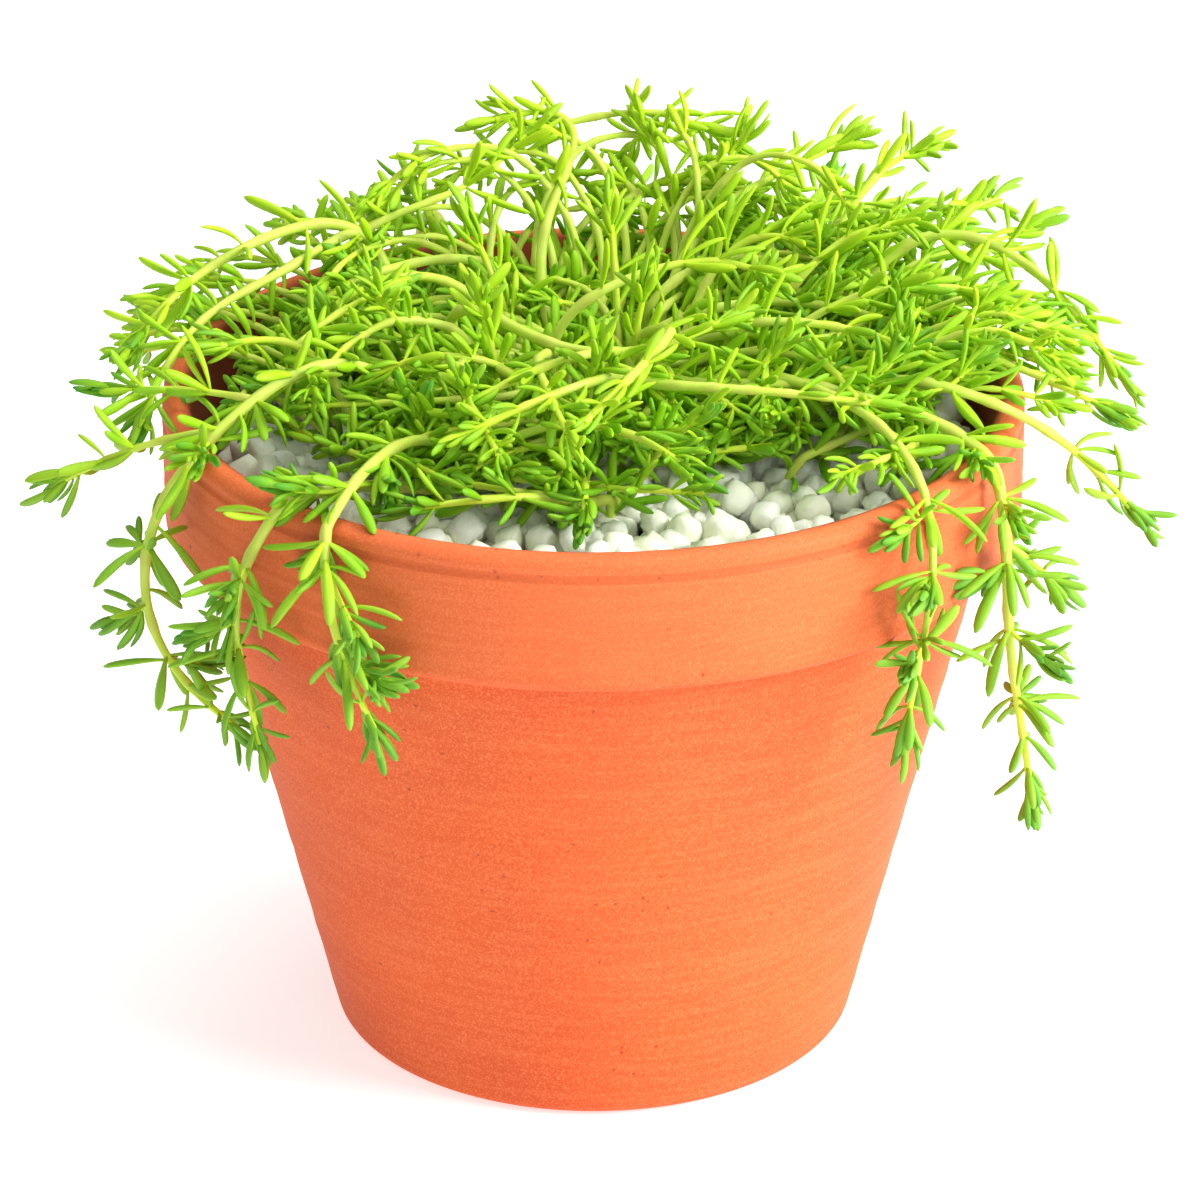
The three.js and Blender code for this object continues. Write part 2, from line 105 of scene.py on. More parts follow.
class SedumPotSettings(bpy.types.PropertyGroup):
    """Sizes and colours of the clay pot."""

    collar_height: metres("Collar height", "Height of the thick band at the rim", 25 * MM)
    collar_step: metres("Collar step", "How far the collar stands out from the body", 6 * MM)
    base_radius: metres("Base radius", "Radius of the body where it stands", 47.5 * MM)
    wall: metres("Wall", "Thickness of the wall", 5 * MM)
    floor_thickness: metres("Floor", "Thickness of the floor", 7 * MM)
    drain_radius: metres("Drain hole", "Radius of the drain hole", 8 * MM)
    lip_round: metres("Lip rounding", "Radius of the rounded lip", 2.2 * MM)
    turning_depth: metres("Turning marks", "Depth of the marks left by turning", 0.05 * MM, precision=5)
    groove_depth: metres("Groove", "Depth of the fine groove under the lip", 0.3 * MM, precision=5)
    clay: rgb("Clay", "Main colour of the fired clay", (0.77, 0.124, 0.025))
    clay_pale: rgb("Pale clay", "Colour of the drier, paler clay", (0.87, 0.225, 0.078))
    clay_deep: rgb("Deep clay", "Colour of the damp, deeper clay", (0.66, 0.090, 0.018))


class SedumFillingSettings(bpy.types.PropertyGroup):
    """The soil and the stones."""

    gravel_below_rim: metres("Stones below rim", "Depth of the stones' level below the rim", 8 * MM)
    stone_size: metres("Stone size", "Width of a stone", 6.1 * MM)
    stone_spacing: metres("Stone spacing", "Least distance between two stones' middles", 4.7 * MM)
    stone_colour: rgb("Stone", "Colour of the stones", (0.97, 0.98, 0.86))
    stone_shade: rgb("Stone shade", "Colour of the darker stones", (0.90, 0.93, 0.66))
    soil_colour: rgb("Soil", "Colour of the soil", (0.030, 0.018, 0.011))


class SedumShootSettings(bpy.types.PropertyGroup):
    """Stems and leaves."""

    stem_radius: metres("Stem radius", "Radius of a stem near its root", 1.15 * MM, precision=5)
    leaf_length: metres("Leaf length", "Length of a grown leaf", 11.6 * MM)
    leaf_width: metres("Leaf width", "Width of a grown leaf", 2.15 * MM)
    leaf_thickness: metres("Leaf thickness", "Thickness of a grown leaf", 1.25 * MM)
    whorl_spacing: metres("Whorl spacing", "Distance between two rings of leaves on a grown stem", 12 * MM)
    leaves_per_whorl: whole("Leaves in a ring", "How many leaves stand in one ring", 3, least=1)
    tip_leaves: whole("Leaves at a tip", "How many leaves stand in the rosette at a tip", 11, least=3)
    undergrowth: whole("Low shoots", "How many low shoots fill the crown", 80, least=0)
    runners: whole("Runners", "How many thin stems arch over the crown", 80, least=0)
    back_stems: whole("Back stems", "How many bare stems cross high over the back", 20, least=1)
    stem_colour: rgb("Stem", "Colour of a grown stem", (0.56, 0.72, 0.085))
    leaf_colour: rgb("Leaf", "Colour of a grown leaf", (0.29, 0.60, 0.006))
    leaf_pale: rgb("Pale leaf", "Colour at the foot of a leaf", (0.62, 0.84, 0.020))
    # Painted shade: the colour that leaves deep in the pot are painted for the shade they sit in.
    leaf_painted_shade: rgb("Deep leaf", "Colour of the leaves deep in the pot", (0.11, 0.34, 0.004))
    rosette_colour: rgb("Rosette", "Colour of the young leaves at a tip", (0.07, 0.33, 0.015))


class SedumStageSettings(bpy.types.PropertyGroup):
    """Floor, lights and camera."""

    camera_distance: bpy.props.FloatProperty(
        name="Camera distance", description="Distance from the middle of the rim, in rim radii",
        default=13.84)
    camera_height: radians("Camera height", "Angle of the camera above the rim", 0.3999)
    camera_pitch: radians("Camera pitch", "How far the camera looks down", 0.4366)
    focal_length: bpy.props.FloatProperty(
        name="Focal length", description="Focal length in millimetres", default=178.7)
    shift: bpy.props.FloatProperty(
        name="Shift", description="Sideways shift of the frame", default=0.0054, precision=4)


# ---------------------------------------------------------------- where the shoots run

# A shoot is (name, root, route, branches), and a branch is (which place of the route it leaves, its own
# route). Each place is (bearing, reach, lift): degrees round the pot from the front, positive to the
# right; distance from the axis as a share of the rim's radius; millimetres above the rim.
SHOOTS = [
    ("shoot_left_arch", (-120, 0.46),
     [(-124, 0.58, 13), (-127, 0.66, 21), (-116, 0.74, 21), (-104, 0.84, 20), (-94, 0.93, 18),
      (-87, 1.02, 15), (-84, 1.07, 10)],
     [(1, [(-132, 0.59, 23), (-140, 0.53, 21), (-150, 0.55, 23), (-160, 0.58, 27), (-167, 0.61, 32)]),
      (1, [(-116, 0.69, 17), (-105, 0.74, 15), (-96, 0.81, 15), (-89, 0.90, 14), (-84, 0.97, 11),
           (-79, 1.03, 6), (-75, 1.06, 1)])]),
    ("shoot_left_trailing", (-60, 0.42),
     [(-66, 0.50, 10), (-68, 0.60, 14), (-65, 0.73, 13), (-63, 0.86, 10), (-61, 0.96, 6), (-61, 1.05, 2),
      (-62, 1.11, -5), (-63, 1.15, -13), (-63, 1.16, -22), (-62, 1.15, -30), (-59, 1.12, -37),
      (-54, 1.08, -41), (-50, 1.05, -43)],
     [(3, [(-69, 0.94, 10), (-72, 1.04, 9), (-75, 1.13, 8)]),
      (4, [(-66, 1.05, 4), (-70, 1.14, 0), (-73, 1.22, -5), (-75, 1.27, -9)])]),
    ("shoot_left_front_trailing", (-36, 0.60),
     [(-38, 0.74, 0), (-40, 0.88, 3), (-42, 0.99, 3), (-44, 1.06, -2), (-46, 1.09, -9), (-48, 1.10, -17),
      (-48, 1.09, -25), (-46, 1.07, -34), (-45, 1.06, -43)], []),
    ("shoot_front_left_trailing", (-40, 0.44),
     [(-38, 0.58, 6), (-37, 0.76, 8), (-36, 0.92, 6), (-35, 1.03, 2), (-34, 1.07, -5), (-34, 1.07, -13),
      (-32, 1.06, -21), (-30, 1.05, -27), (-28, 1.03, -35)],
     [(4, [(-31, 1.09, -10), (-28, 1.10, -15)])]),
    ("shoot_left_inner", (-60, 0.62),
     [(-64, 0.61, 1), (-68, 0.60, 7), (-74, 0.61, 12), (-79, 0.67, 16), (-78, 0.76, 16), (-75, 0.88, 14)],
     [(3, [(-85, 0.56, 18), (-93, 0.47, 17)])]),
    ("shoot_left_short", (-86, 0.46), [(-90, 0.55, 6), (-95, 0.62, 11)], []),
    ("shoot_back_arch", (-160, 0.24),
     [(-158, 0.40, 13), (-170, 0.51, 22), (180, 0.59, 29), (179, 0.63, 34), (-174, 0.64, 36),
      (-166, 0.65, 35), (-159, 0.65, 32)],
     [(3, [(171, 0.65, 36), (163, 0.66, 36), (157, 0.68, 33), (154, 0.69, 28)])]),
    ("shoot_back_curl", (152, 0.42),
     [(157, 0.54, 14), (160, 0.60, 24), (164, 0.62, 30), (169, 0.59, 32)], []),
    ("shoot_back_right_long", (150, 0.26),
     [(149, 0.38, 14), (147, 0.50, 20), (142, 0.63, 23), (137, 0.77, 26), (135, 0.87, 28)], []),
    ("shoot_back_right_upright", (160, 0.50), [(156, 0.57, 16), (151, 0.63, 26), (147, 0.67, 31)], []),
    ("shoot_right_upright", (122, 0.55),
     [(125, 0.68, 14), (127, 0.79, 23), (128, 0.88, 28), (126, 0.98, 28)], []),
    ("shoot_right_arch", (112, 0.58),
     [(113, 0.74, 18), (111, 0.86, 22), (106, 0.96, 21), (101, 1.05, 17), (97, 1.12, 11), (94, 1.18, 5),
      (92, 1.22, 1)],
     [(1, [(115, 0.97, 22), (114, 1.04, 22)])]),
    ("shoot_right_crossing", (130, 0.24),
     [(134, 0.38, 17), (129, 0.48, 23), (120, 0.53, 22), (111, 0.56, 19)],
     [(2, [(115, 0.63, 23), (112, 0.70, 22)])]),
    ("shoot_right_trailing", (50, 0.22),
     [(54, 0.32, 10), (55, 0.44, 11), (56, 0.57, 9), (59, 0.70, 9), (61, 0.82, 8), (62, 0.93, 6),
      (62, 1.02, 2), (62, 1.06, -5), (61, 1.07, -13), (61, 1.07, -23), (61, 1.07, -33), (62, 1.09, -43),
      (63, 1.12, -52), (63, 1.13, -62)],
     [(2, [(54, 0.72, 10), (51, 0.86, 9), (48, 0.97, 6), (46, 1.05, 1), (45, 1.08, -6),
           (45, 1.08, -14), (43, 1.07, -22), (42, 1.07, -30), (41, 1.06, -40)]),
      (8, [(65, 1.10, -19), (68, 1.15, -25)])]),
    ("shoot_right_reaching", (70, 0.48),
     [(69, 0.66, 11), (68, 0.83, 10), (70, 0.97, 7), (73, 1.08, 2), (76, 1.16, -5), (78, 1.23, -12),
      (78, 1.28, -17)], []),
    ("shoot_right_low", (84, 0.50),
     [(84, 0.70, 9), (84, 0.88, 9), (83, 1.02, 6), (83, 1.12, 2), (83, 1.20, -1)], []),
    ("shoot_right_inner", (60, 0.42), [(67, 0.58, 9), (73, 0.68, 12), (77, 0.78, 12)], []),
    ("shoot_right_shoulder", (96, 0.48), [(98, 0.68, 15), (97, 0.84, 17), (95, 0.97, 13), (93, 1.06, 8)], []),
    ("shoot_right_mound", (80, 0.30), [(83, 0.46, 14), (87, 0.62, 19), (89, 0.76, 19)], []),
    ("shoot_right_back_mound", (106, 0.34), [(108, 0.52, 19), (107, 0.66, 25), (104, 0.76, 25)], []),
    ("shoot_top_long", (-60, 0.10),
     [(-56, 0.16, 10), (-46, 0.11, 17), (60, 0.06, 20), (94, 0.16, 22), (95, 0.26, 24), (89, 0.36, 24),
      (83, 0.43, 21)], []),
    ("shoot_front_arch", (-118, 0.36),
     [(-104, 0.38, 12), (-92, 0.30, 16), (-72, 0.24, 15), (-38, 0.24, 14), (-10, 0.28, 13), (20, 0.31, 14),
      (44, 0.34, 16), (62, 0.37, 18)], []),
    ("shoot_front_low", (-32, 0.46),
     [(-24, 0.55, 6), (-9, 0.52, 10), (5, 0.51, 10), (13, 0.58, 8), (18, 0.68, 5)], []),
    ("shoot_front_creeping", (4, 0.54), [(-4, 0.66, 1), (-12, 0.73, 3), (-20, 0.79, 2), (-28, 0.85, 1)], []),
    ("shoot_front_short", (-6, 0.40), [(-4, 0.52, 0), (-1, 0.64, 1), (-2, 0.74, -2)], []),
    ("shoot_front_left_tuft", (-44, 0.50), [(-43, 0.54, 0), (-42, 0.60, 9)], []),
    ("shoot_back_left_trailing", (-148, 0.56),
     [(-150, 0.70, 10), (-153, 0.85, 11), (-155, 0.98, 7), (-156, 1.06, 0), (-156, 1.08, -9),
      (-155, 1.08, -19), (-153, 1.07, -28)], []),
    ("shoot_back_leaning", (172, 0.56), [(173, 0.70, 11), (174, 0.82, 13), (175, 0.93, 10)], []),
    ("shoot_back_right_trailing", (140, 0.56),
     [(143, 0.74, 12), (145, 0.89, 12), (147, 1.01, 7), (148, 1.07, -1), (148, 1.08, -11),
      (149, 1.08, -21), (151, 1.07, -30)], []),
    ("shoot_back_left_low", (-112, 0.60),
     [(-114, 0.76, 5), (-115, 0.89, 7), (-115, 1.00, 5), (-115, 1.07, -1), (-114, 1.08, -9)], []),
]

# The share of a shoot's leaves that is missing, where it isn't the common share.
COMMON_BARENESS = 0.35
BARENESS = {
    "shoot_back_arch": 0.80, "shoot_back_curl": 0.60, "shoot_back_right_long": 0.75, "shoot_left_arch": 0.60,
    "shoot_top_long": 0.65, "shoot_front_arch": 0.60, "shoot_right_crossing": 0.55, "shoot_front_low": 0.55,
    "shoot_left_inner": 0.55, "shoot_right_arch": 0.45,
}

# Short upright shoots fill the crown, each a golden angle on from the last.
CROWN_SHOOTS = 14
CROWN_REACH = (0.10, 0.56)
CROWN_HEIGHT = (26, 12)
GOLDEN_ANGLE = 137.508

STEM_STEP = 3 * MM
ROOT_RISE = 3 * MM
STEM_GAP = 0.6 * MM
SETTLE_ROUNDS = 60


def crown_shoots():
    """The short upright shoots, in the same form as SHOOTS."""
    shoots = []
    for i in range(CROWN_SHOOTS):
        share = (i + 0.5) / CROWN_SHOOTS
        reach = CROWN_REACH[0] + (CROWN_REACH[1] - CROWN_REACH[0]) * math.sqrt(share)
        height = CROWN_HEIGHT[0] + (CROWN_HEIGHT[1] - CROWN_HEIGHT[0]) * share
        bearing = (i * GOLDEN_ANGLE + 25) % 360
        route = [(bearing + 4, reach * 0.95, height * 0.45), (bearing + 10, reach * 1.15, height)]
        shoots.append((f"crown_shoot_{i + 1:02d}", (bearing, reach * 0.8), route, []))
    return shoots


def place(bearing, reach, lift):
    """A place on the plant, in metres."""
    angle = math.radians(bearing)
    radius = reach * RIM_RADIUS
    return np.array([radius * math.sin(angle), -radius * math.cos(angle), POT_HEIGHT + lift * MM])


def smooth_line(places):
    """Points about STEM_STEP apart on a smooth line through the places."""
    points = [places[0]]
    for i in range(len(places) - 1):
        before, start = places[max(i - 1, 0)], places[i]
        end, after = places[i + 1], places[min(i + 2, len(places) - 1)]
        pieces = max(1, math.floor(np.linalg.norm(end - start) / STEM_STEP + 0.5))
        for j in range(1, pieces + 1):
            t = j / pieces
            points.append(before * (-0.5 * t + t * t - 0.5 * t ** 3)
                          + start * (1 - 2.5 * t * t + 1.5 * t ** 3)
                          + end * (0.5 * t + 2 * t * t - 1.5 * t ** 3)
                          + after * (-0.5 * t * t + 0.5 * t ** 3))
    return np.array(points)


class PotShape:
    """Where the pot's walls are, for what grows round them."""

    def __init__(self, pot, filling):
        self.collar_foot = POT_HEIGHT - pot.collar_height
        self.body_top = RIM_RADIUS - pot.collar_step
        self.base = pot.base_radius
        self.floor = pot.floor_thickness
        self.inner_top = RIM_RADIUS - pot.wall
        self.inner_floor = pot.base_radius - pot.wall
        self.gravel_top = POT_HEIGHT - filling.gravel_below_rim

    def inner(self, z):
        """Radius of the inner wall at a height."""
        share = (z - self.floor) / (POT_HEIGHT - self.floor)
        return self.inner_floor + (self.inner_top - self.inner_floor) * share

    def outer(self, z):
        """Radius of the outer wall at a height."""
        body = self.base + (self.body_top - self.base) * np.maximum(0, z) / self.collar_foot
        return np.where(z >= self.collar_foot, RIM_RADIUS, body)

    def clear(self, points, margin):
        """The points moved clear of the walls, the rim and the stones by a margin."""
        radius = np.hypot(points[:, 0], points[:, 1])
        z = points[:, 2]
        above = POT_HEIGHT + margin - z
        outside = self.outer(z) + margin - radius
        inside = radius - (self.inner(z) - margin)
        hit = (above > 0) & (outside > 0) & (inside > 0)
        least = np.minimum(np.minimum(above, outside), inside)
        push_up = np.where(hit & (least == above), above, 0)
        push_out = np.where(hit & (least == outside) & (least != above), outside, 0)
        push_in = np.where(hit & (least != above) & (least != outside), inside, 0)
        new_radius = radius + push_out - push_in
        scale = new_radius / np.maximum(radius, MM)
        moved = np.stack([points[:, 0] * scale, points[:, 1] * scale, z + push_up], axis=1)
        on_stones = new_radius < self.inner_top
        moved[on_stones, 2] = np.maximum(moved[on_stones, 2], self.gravel_top + margin)
        return moved


def grow_runs(shape, stem_radius):
    """Every run of stem as {shoot, points}, moved apart where stems would cross."""
    runs = []
    for name, root, route, branches in SHOOTS + crown_shoots():
        foot = place(*root, (FIT_GAP + shape.gravel_top - POT_HEIGHT) / MM)
        risen = foot + np.array([0, 0, ROOT_RISE])
        line = smooth_line([foot, risen] + [place(*p) for p in route])
        main = {"shoot": name, "points": line, "parent": None}
        runs.append(main)
        for leaves_at, branch in branches:
            start = place(*route[leaves_at])
            near = int(np.argmin(np.linalg.norm(main["points"] - start, axis=1)))
            points = smooth_line([start] + [place(*p) for p in branch])
            runs.append({"shoot": name, "points": points, "parent": (main, near)})
    settle(runs, shape, stem_radius)
    return runs


def settle(runs, shape, stem_radius):
    """Moves stems that cross apart, and off the pot, until they clear each other."""
    first = np.cumsum([0] + [len(run["points"]) for run in runs])
    points = np.concatenate([run["points"] for run in runs])
    names = sorted({run["shoot"] for run in runs})
    owner = np.concatenate([np.full(len(run["points"]), names.index(run["shoot"])) for run in runs])
    free = np.ones(len(points), bool)
    ends = np.zeros(len(points), bool)
    for run, start, stop in zip(runs, first, first[1:]):
        free[start:start + (1 if run["parent"] else 2)] = False
        ends[[start, stop - 1]] = True
    starts = {id(run): start for run, start in zip(runs, first)}
    attached = [(start, starts[id(run["parent"][0])] + run["parent"][1])
                for run, start in zip(runs, first) if run["parent"]]
    stem_space = 2 * stem_radius + STEM_GAP
    point_space = math.hypot(stem_space, 0.7 * STEM_STEP)
    apart = owner[:, None] != owner[None, :]
    for _ in range(SETTLE_ROUNDS):
        square = (points ** 2).sum(1)
        distance = np.sqrt(np.maximum(square[:, None] + square[None, :] - 2 * points @ points.T, 0))
        push = np.where(apart & (distance < point_space),
                        (point_space - distance) / np.maximum(distance, 0.01 * MM) / 2, 0)
        move = push.sum(1)[:, None] * points - push @ points
        length = np.linalg.norm(move, axis=1)
        move *= np.minimum(1, stem_radius / np.maximum(length, 1e-9))[:, None]
        points[free] += move[free]
        for start, parent in attached:
            points[start] = points[parent]
        middle = points.copy()
        middle[1:-1] = (points[:-2] + points[2:]) / 2
        inner = free & ~ends
        points[inner] += 0.2 * (middle[inner] - points[inner])
        points[free] = shape.clear(points[free], stem_radius + STEM_GAP)
    for run, start, stop in zip(runs, first, first[1:]):
        run["points"] = points[start:stop]


# ---------------------------------------------------------------- node trees


class NodeTree:
    """Adds nodes to a tree, one call for each."""

    def __init__(self, tree):
        self.tree = tree

    def put(self, value, socket):
        """Links an output to a socket, or sets the socket's own value."""
        if isinstance(value, bpy.types.NodeSocket):
            self.tree.links.new(value, socket)
        elif value is not None:
            socket.default_value = value

    def node(self, kind, settings=None, inputs=None):
        node = self.tree.nodes.new(kind)
        for key, value in (settings or {}).items():
            setattr(node, key, value)
        for key, value in (inputs or {}).items():
            self.put(value, node.inputs[key])
        return node

    def math(self, operation, a, b=None, c=None):
        return self.node("ShaderNodeMath", {"operation": operation}, {0: a, 1: b, 2: c}).outputs[0]

    def plus(self, a, b):
        return self.math("ADD", a, b)

    def minus(self, a, b):
        return self.math("SUBTRACT", a, b)

    def times(self, a, b):
        return self.math("MULTIPLY", a, b)

    def over(self, a, b):
        return self.math("DIVIDE", a, b)

    def radius(self, x, y):
        """How far a place is from the pot's axis."""
        return self.math("SQRT", self.plus(self.times(x, x), self.times(y, y)))

    def vector(self, operation, a, b=None):
        return self.node("ShaderNodeVectorMath", {"operation": operation}, {0: a, 1: b}).outputs["Vector"]

    def scaled(self, vector, scale):
        node = self.node("ShaderNodeVectorMath", {"operation": "SCALE"}, {0: vector, "Scale": scale})
        return node.outputs["Vector"]

    def between(self, value, low, high, to_low=0.0, to_high=1.0):
        """The value's place between low and high, clamped, as a value between to_low and to_high."""
        inputs = {0: value, 1: low, 2: high, 3: to_low, 4: to_high}
        return self.node("ShaderNodeMapRange", {"clamp": True}, inputs).outputs[0]

    def combine(self, x, y, z):
        return self.node("ShaderNodeCombineXYZ", None, {0: x, 1: y, 2: z}).outputs[0]

    def separate(self, value):
        return self.node("ShaderNodeSeparateXYZ", None, {0: value}).outputs


class GeometryTree(NodeTree):
    """A Geometry Nodes tree with named inputs for its sizes."""

    def __init__(self, name, inputs):
        super().__init__(bpy.data.node_groups.new(name, "GeometryNodeTree"))
        interface = self.tree.interface
        interface.new_socket("Geometry", in_out="INPUT", socket_type="NodeSocketGeometry")
        self.identifiers = {}
        for label, kind, default in inputs:
            socket = interface.new_socket(label, in_out="INPUT", socket_type=kind)
            socket.default_value = default
            self.identifiers[label] = socket.identifier
        interface.new_socket("Geometry", in_out="OUTPUT", socket_type="NodeSocketGeometry")
        self.inputs = self.node("NodeGroupInput").outputs

    def finish(self, geometry, material, blade_material=None):
        """Ends the tree in Realize Instances and Set Material, with its own one for faces marked "blade"."""
        geometry = self.node("GeometryNodeRealizeInstances", None, {0: geometry}).outputs[0]
        geometry = self.node("GeometryNodeSetMaterial", None,
                             {"Geometry": geometry, "Material": material}).outputs[0]
        if blade_material is not None:
            geometry = self.node("GeometryNodeSetMaterial", None,
                                 {"Geometry": geometry, "Selection": self.named("blade", "BOOLEAN"),
                                  "Material": blade_material}).outputs[0]
        out = self.node("NodeGroupOutput")
        self.tree.links.new(geometry, out.inputs[0])

    def random(self, low, high, salt):
        """A random value for each element; the salt keeps it apart from the other random values."""
        inputs = {2: low, 3: high, 8: self.plus(self.inputs["Seed"], float(salt))}
        return self.node("FunctionNodeRandomValue", {"data_type": "FLOAT"}, inputs).outputs[1]

    def pick(self, geometry, choices, rotation, scale):
        """One of the choices, taken at random, on every point of the geometry."""
        index = self.node("FunctionNodeRandomValue", {"data_type": "INT"},
                          {4: 0, 5: len(choices) - 1, 8: self.inputs["Seed"]}).outputs[2]
        node = self.node("GeometryNodeInstanceOnPoints", None,
                         {"Points": geometry, "Instance": self.join(*choices), "Pick Instance": True,
                          "Instance Index": index, "Rotation": rotation, "Scale": scale})
        return node.outputs[0]

    def moved_to(self, geometry, position):
        """The geometry with its points moved to a position."""
        inputs = {"Geometry": geometry, "Position": position}
        return self.node("GeometryNodeSetPosition", None, inputs).outputs[0]

    def choice(self, geometry):
        """The geometry as one of the choices for pick."""
        return self.node("GeometryNodeGeometryToInstance", None, {0: geometry}).outputs[0]

    def store(self, geometry, name, value, domain="POINT", data_type="FLOAT"):
        node = self.node("GeometryNodeStoreNamedAttribute", {"data_type": data_type, "domain": domain},
                         {"Geometry": geometry, "Name": name, "Value": value})
        return node.outputs[0]

    def named(self, name, data_type="FLOAT"):
        node = self.node("GeometryNodeInputNamedAttribute", {"data_type": data_type}, {"Name": name})
        return node.outputs[0]

    def join(self, *geometries):
        node = self.node("GeometryNodeJoinGeometry")
        for geometry in geometries:
            self.tree.links.new(geometry, node.inputs[0])
        return node.outputs[0]

    def curve(self, value, points):
        """A value shaped by a curve through the points."""
        node = self.node("ShaderNodeFloatCurve", None, {"Value": value})
        line = node.mapping.curves[0]
        line.points[0].location = points[0]
        line.points[1].location = points[-1]
        for x, y in points[1:-1]:
            line.points.new(x, y)
        node.mapping.update()
        return node.outputs[0]


def made_by(tree, name, points, attributes, values):
    """A plain mesh object made by a tree from loose points with attributes; values are the tree's inputs."""
    source = bpy.data.meshes.new(name)
    source.vertices.add(len(points))
    source.vertices.foreach_set("co", np.asarray(points, np.float32).ravel())
    for key, (kind, data) in attributes.items():
        source.attributes.new(key, kind, "POINT").data.foreach_set("value", data)
    host = bpy.data.objects.new(name, source)
    bpy.context.scene.collection.objects.link(host)
    modifier = host.modifiers.new("Growth", "NODES")
    modifier.node_group = tree.tree
    for label, value in values.items():
        modifier[tree.identifiers[label]] = value
    evaluated = host.evaluated_get(bpy.context.evaluated_depsgraph_get())
    mesh = bpy.data.meshes.new_from_object(evaluated)
    host.modifiers.clear()
    host.data = mesh
    bpy.data.meshes.remove(source)
    mesh.name = name
    if not mesh.polygons:
        raise RuntimeError(f"{name} came out empty")
    mesh.shade_smooth()
    return host


# ---------------------------------------------------------------- materials


class Finish(NodeTree):
    """A material's node tree, round one Principled shader."""

    def __init__(self, name, roughness, **constants):
        self.material = bpy.data.materials.new(name)
        self.material.use_nodes = True
        super().__init__(self.material.node_tree)
        self.shader = self.tree.nodes["Principled BSDF"]
        self.shader.inputs["Roughness"].default_value = roughness
        for key, value in constants.items():
            self.shader.inputs[key.replace("_", " ")].default_value = value
        self.coordinates = self.node("ShaderNodeTexCoord").outputs["Object"]

    def noise(self, scale, detail=3.0, coordinates=None, roughness=0.55):
        node = self.node("ShaderNodeTexNoise", None,
                         {"Vector": coordinates or self.coordinates, "Scale": scale, "Detail": detail,
                          "Roughness": roughness})
        return node.outputs[0]

    def cells(self, scale):
        node = self.node("ShaderNodeTexVoronoi", None, {"Vector": self.coordinates, "Scale": scale})
        return node.outputs["Distance"]

    def attribute(self, name):
        return self.node("ShaderNodeAttribute", {"attribute_name": name}).outputs["Fac"]

    def mix(self, amount, a, b):
        """Colour a, with an amount of colour b."""
        node = self.node("ShaderNodeMix", {"data_type": "RGBA"}, {0: amount})
        for value, socket in ((a, node.inputs[6]), (b, node.inputs[7])):
            self.put(value if isinstance(value, bpy.types.NodeSocket) else (*value, 1.0), socket)
        return node.outputs[2]

    def colour(self, value):
        self.put(value, self.shader.inputs["Base Color"])

    def bump(self, height, distance, strength):
        inputs = {"Height": height, "Distance": distance, "Strength": strength}
        self.put(self.node("ShaderNodeBump", None, inputs).outputs[0], self.shader.inputs["Normal"])


def terracotta_finish(pot):
    """Unglazed fired clay: mottled, faintly ringed from turning, pitted and a little dusty, with the collar
    painted paler as painted light and the inner wall painted darker as painted shade.
    """
    finish = Finish("terracotta", 0.7, Specular_IOR_Level=0.24)
    x, y, z = finish.separate(finish.coordinates)
    # Rings: the height is stretched against the sides, so the noise makes level bands.
    flat = finish.combine(finish.times(x, 0.06), finish.times(y, 0.06), z)
    rings = finish.noise(420.0, 4.0, flat)
    bands = finish.noise(70.0, 2.0, flat)
    blotches = finish.noise(26.0, 5.0)
    grain = finish.noise(2400.0, 3.0, roughness=0.8)
    tone = finish.mix(finish.between(blotches, 0.38, 0.66), pot.clay_deep, pot.clay)
    tone = finish.mix(finish.between(bands, 0.45, 0.75, 0.0, 0.18), tone, pot.clay_pale)
    streaks = finish.noise(900.0, 5.0, flat)
    for spots, amount in ((grain, 0.7), (streaks, 0.15)):
        tone = finish.mix(finish.between(spots, 0.5, 0.6, 0.0, amount), tone, pot.clay_pale)
        tone = finish.mix(finish.between(spots, 0.4, 0.5, amount, 0.0), tone, pot.clay_deep)
    # Painted light: the collar is painted paler than the body, for the light it catches.
    collar = finish.between(z, POT_HEIGHT - pot.collar_height - 2 * MM,
                            POT_HEIGHT - pot.collar_height + 4 * MM, 0.0, 0.35)
    tone = finish.mix(collar, tone, pot.clay_pale)
    # Pits: the middles of a few small cells are dark and sunk.
    pits = finish.between(finish.cells(330.0), 0.05, 0.16)
    sparse = finish.between(finish.noise(60.0, 2.0), 0.54, 0.60)
    under_lip = finish.math("COMPARE", z, POT_HEIGHT - 3.7 * MM, 0.8 * MM)
    sparse = finish.math("MAXIMUM", sparse, under_lip)
    pit_depth = finish.times(finish.minus(1.0, pits), sparse)
    tone = finish.mix(finish.times(pit_depth, 0.6), tone, (0.30, 0.05, 0.02))
    tone = finish.mix(finish.times(under_lip, 0.35), tone, (0.50, 0.075, 0.02))
    # Painted shade: the inner wall and the inner part of the lip are painted much darker, for the shade
    # inside the pot.
    radius = finish.radius(x, y)
    wall_line = finish.between(z, 0.0, POT_HEIGHT, pot.base_radius - pot.wall, RIM_RADIUS - pot.wall)
    darkened = finish.between(finish.minus(radius, wall_line), 0.5 * MM, 2.2 * MM, 0.92, 0.0)
    tone = finish.mix(darkened, tone, (0.20, 0.030, 0.010))
    finish.colour(tone)
    finish.put(finish.between(blotches, 0.3, 0.7, 0.6, 0.78), finish.shader.inputs["Roughness"])
    height = finish.plus(finish.times(rings, 0.35), finish.times(grain, 0.25))
    height = finish.minus(height, finish.times(pit_depth, 1.2))
    finish.bump(height, 0.25 * MM, 0.6)
    return finish.material


def soil_finish(filling):
    """Dark crumbly soil."""
    finish = Finish("potting_soil", 0.95)
    crumbs = finish.noise(500.0, 5.0)
    finish.colour(finish.mix(finish.between(crumbs, 0.35, 0.7), filling.soil_colour, (0.10, 0.06, 0.035)))
    finish.bump(crumbs, 1.0 * MM, 0.9)
    return finish.material


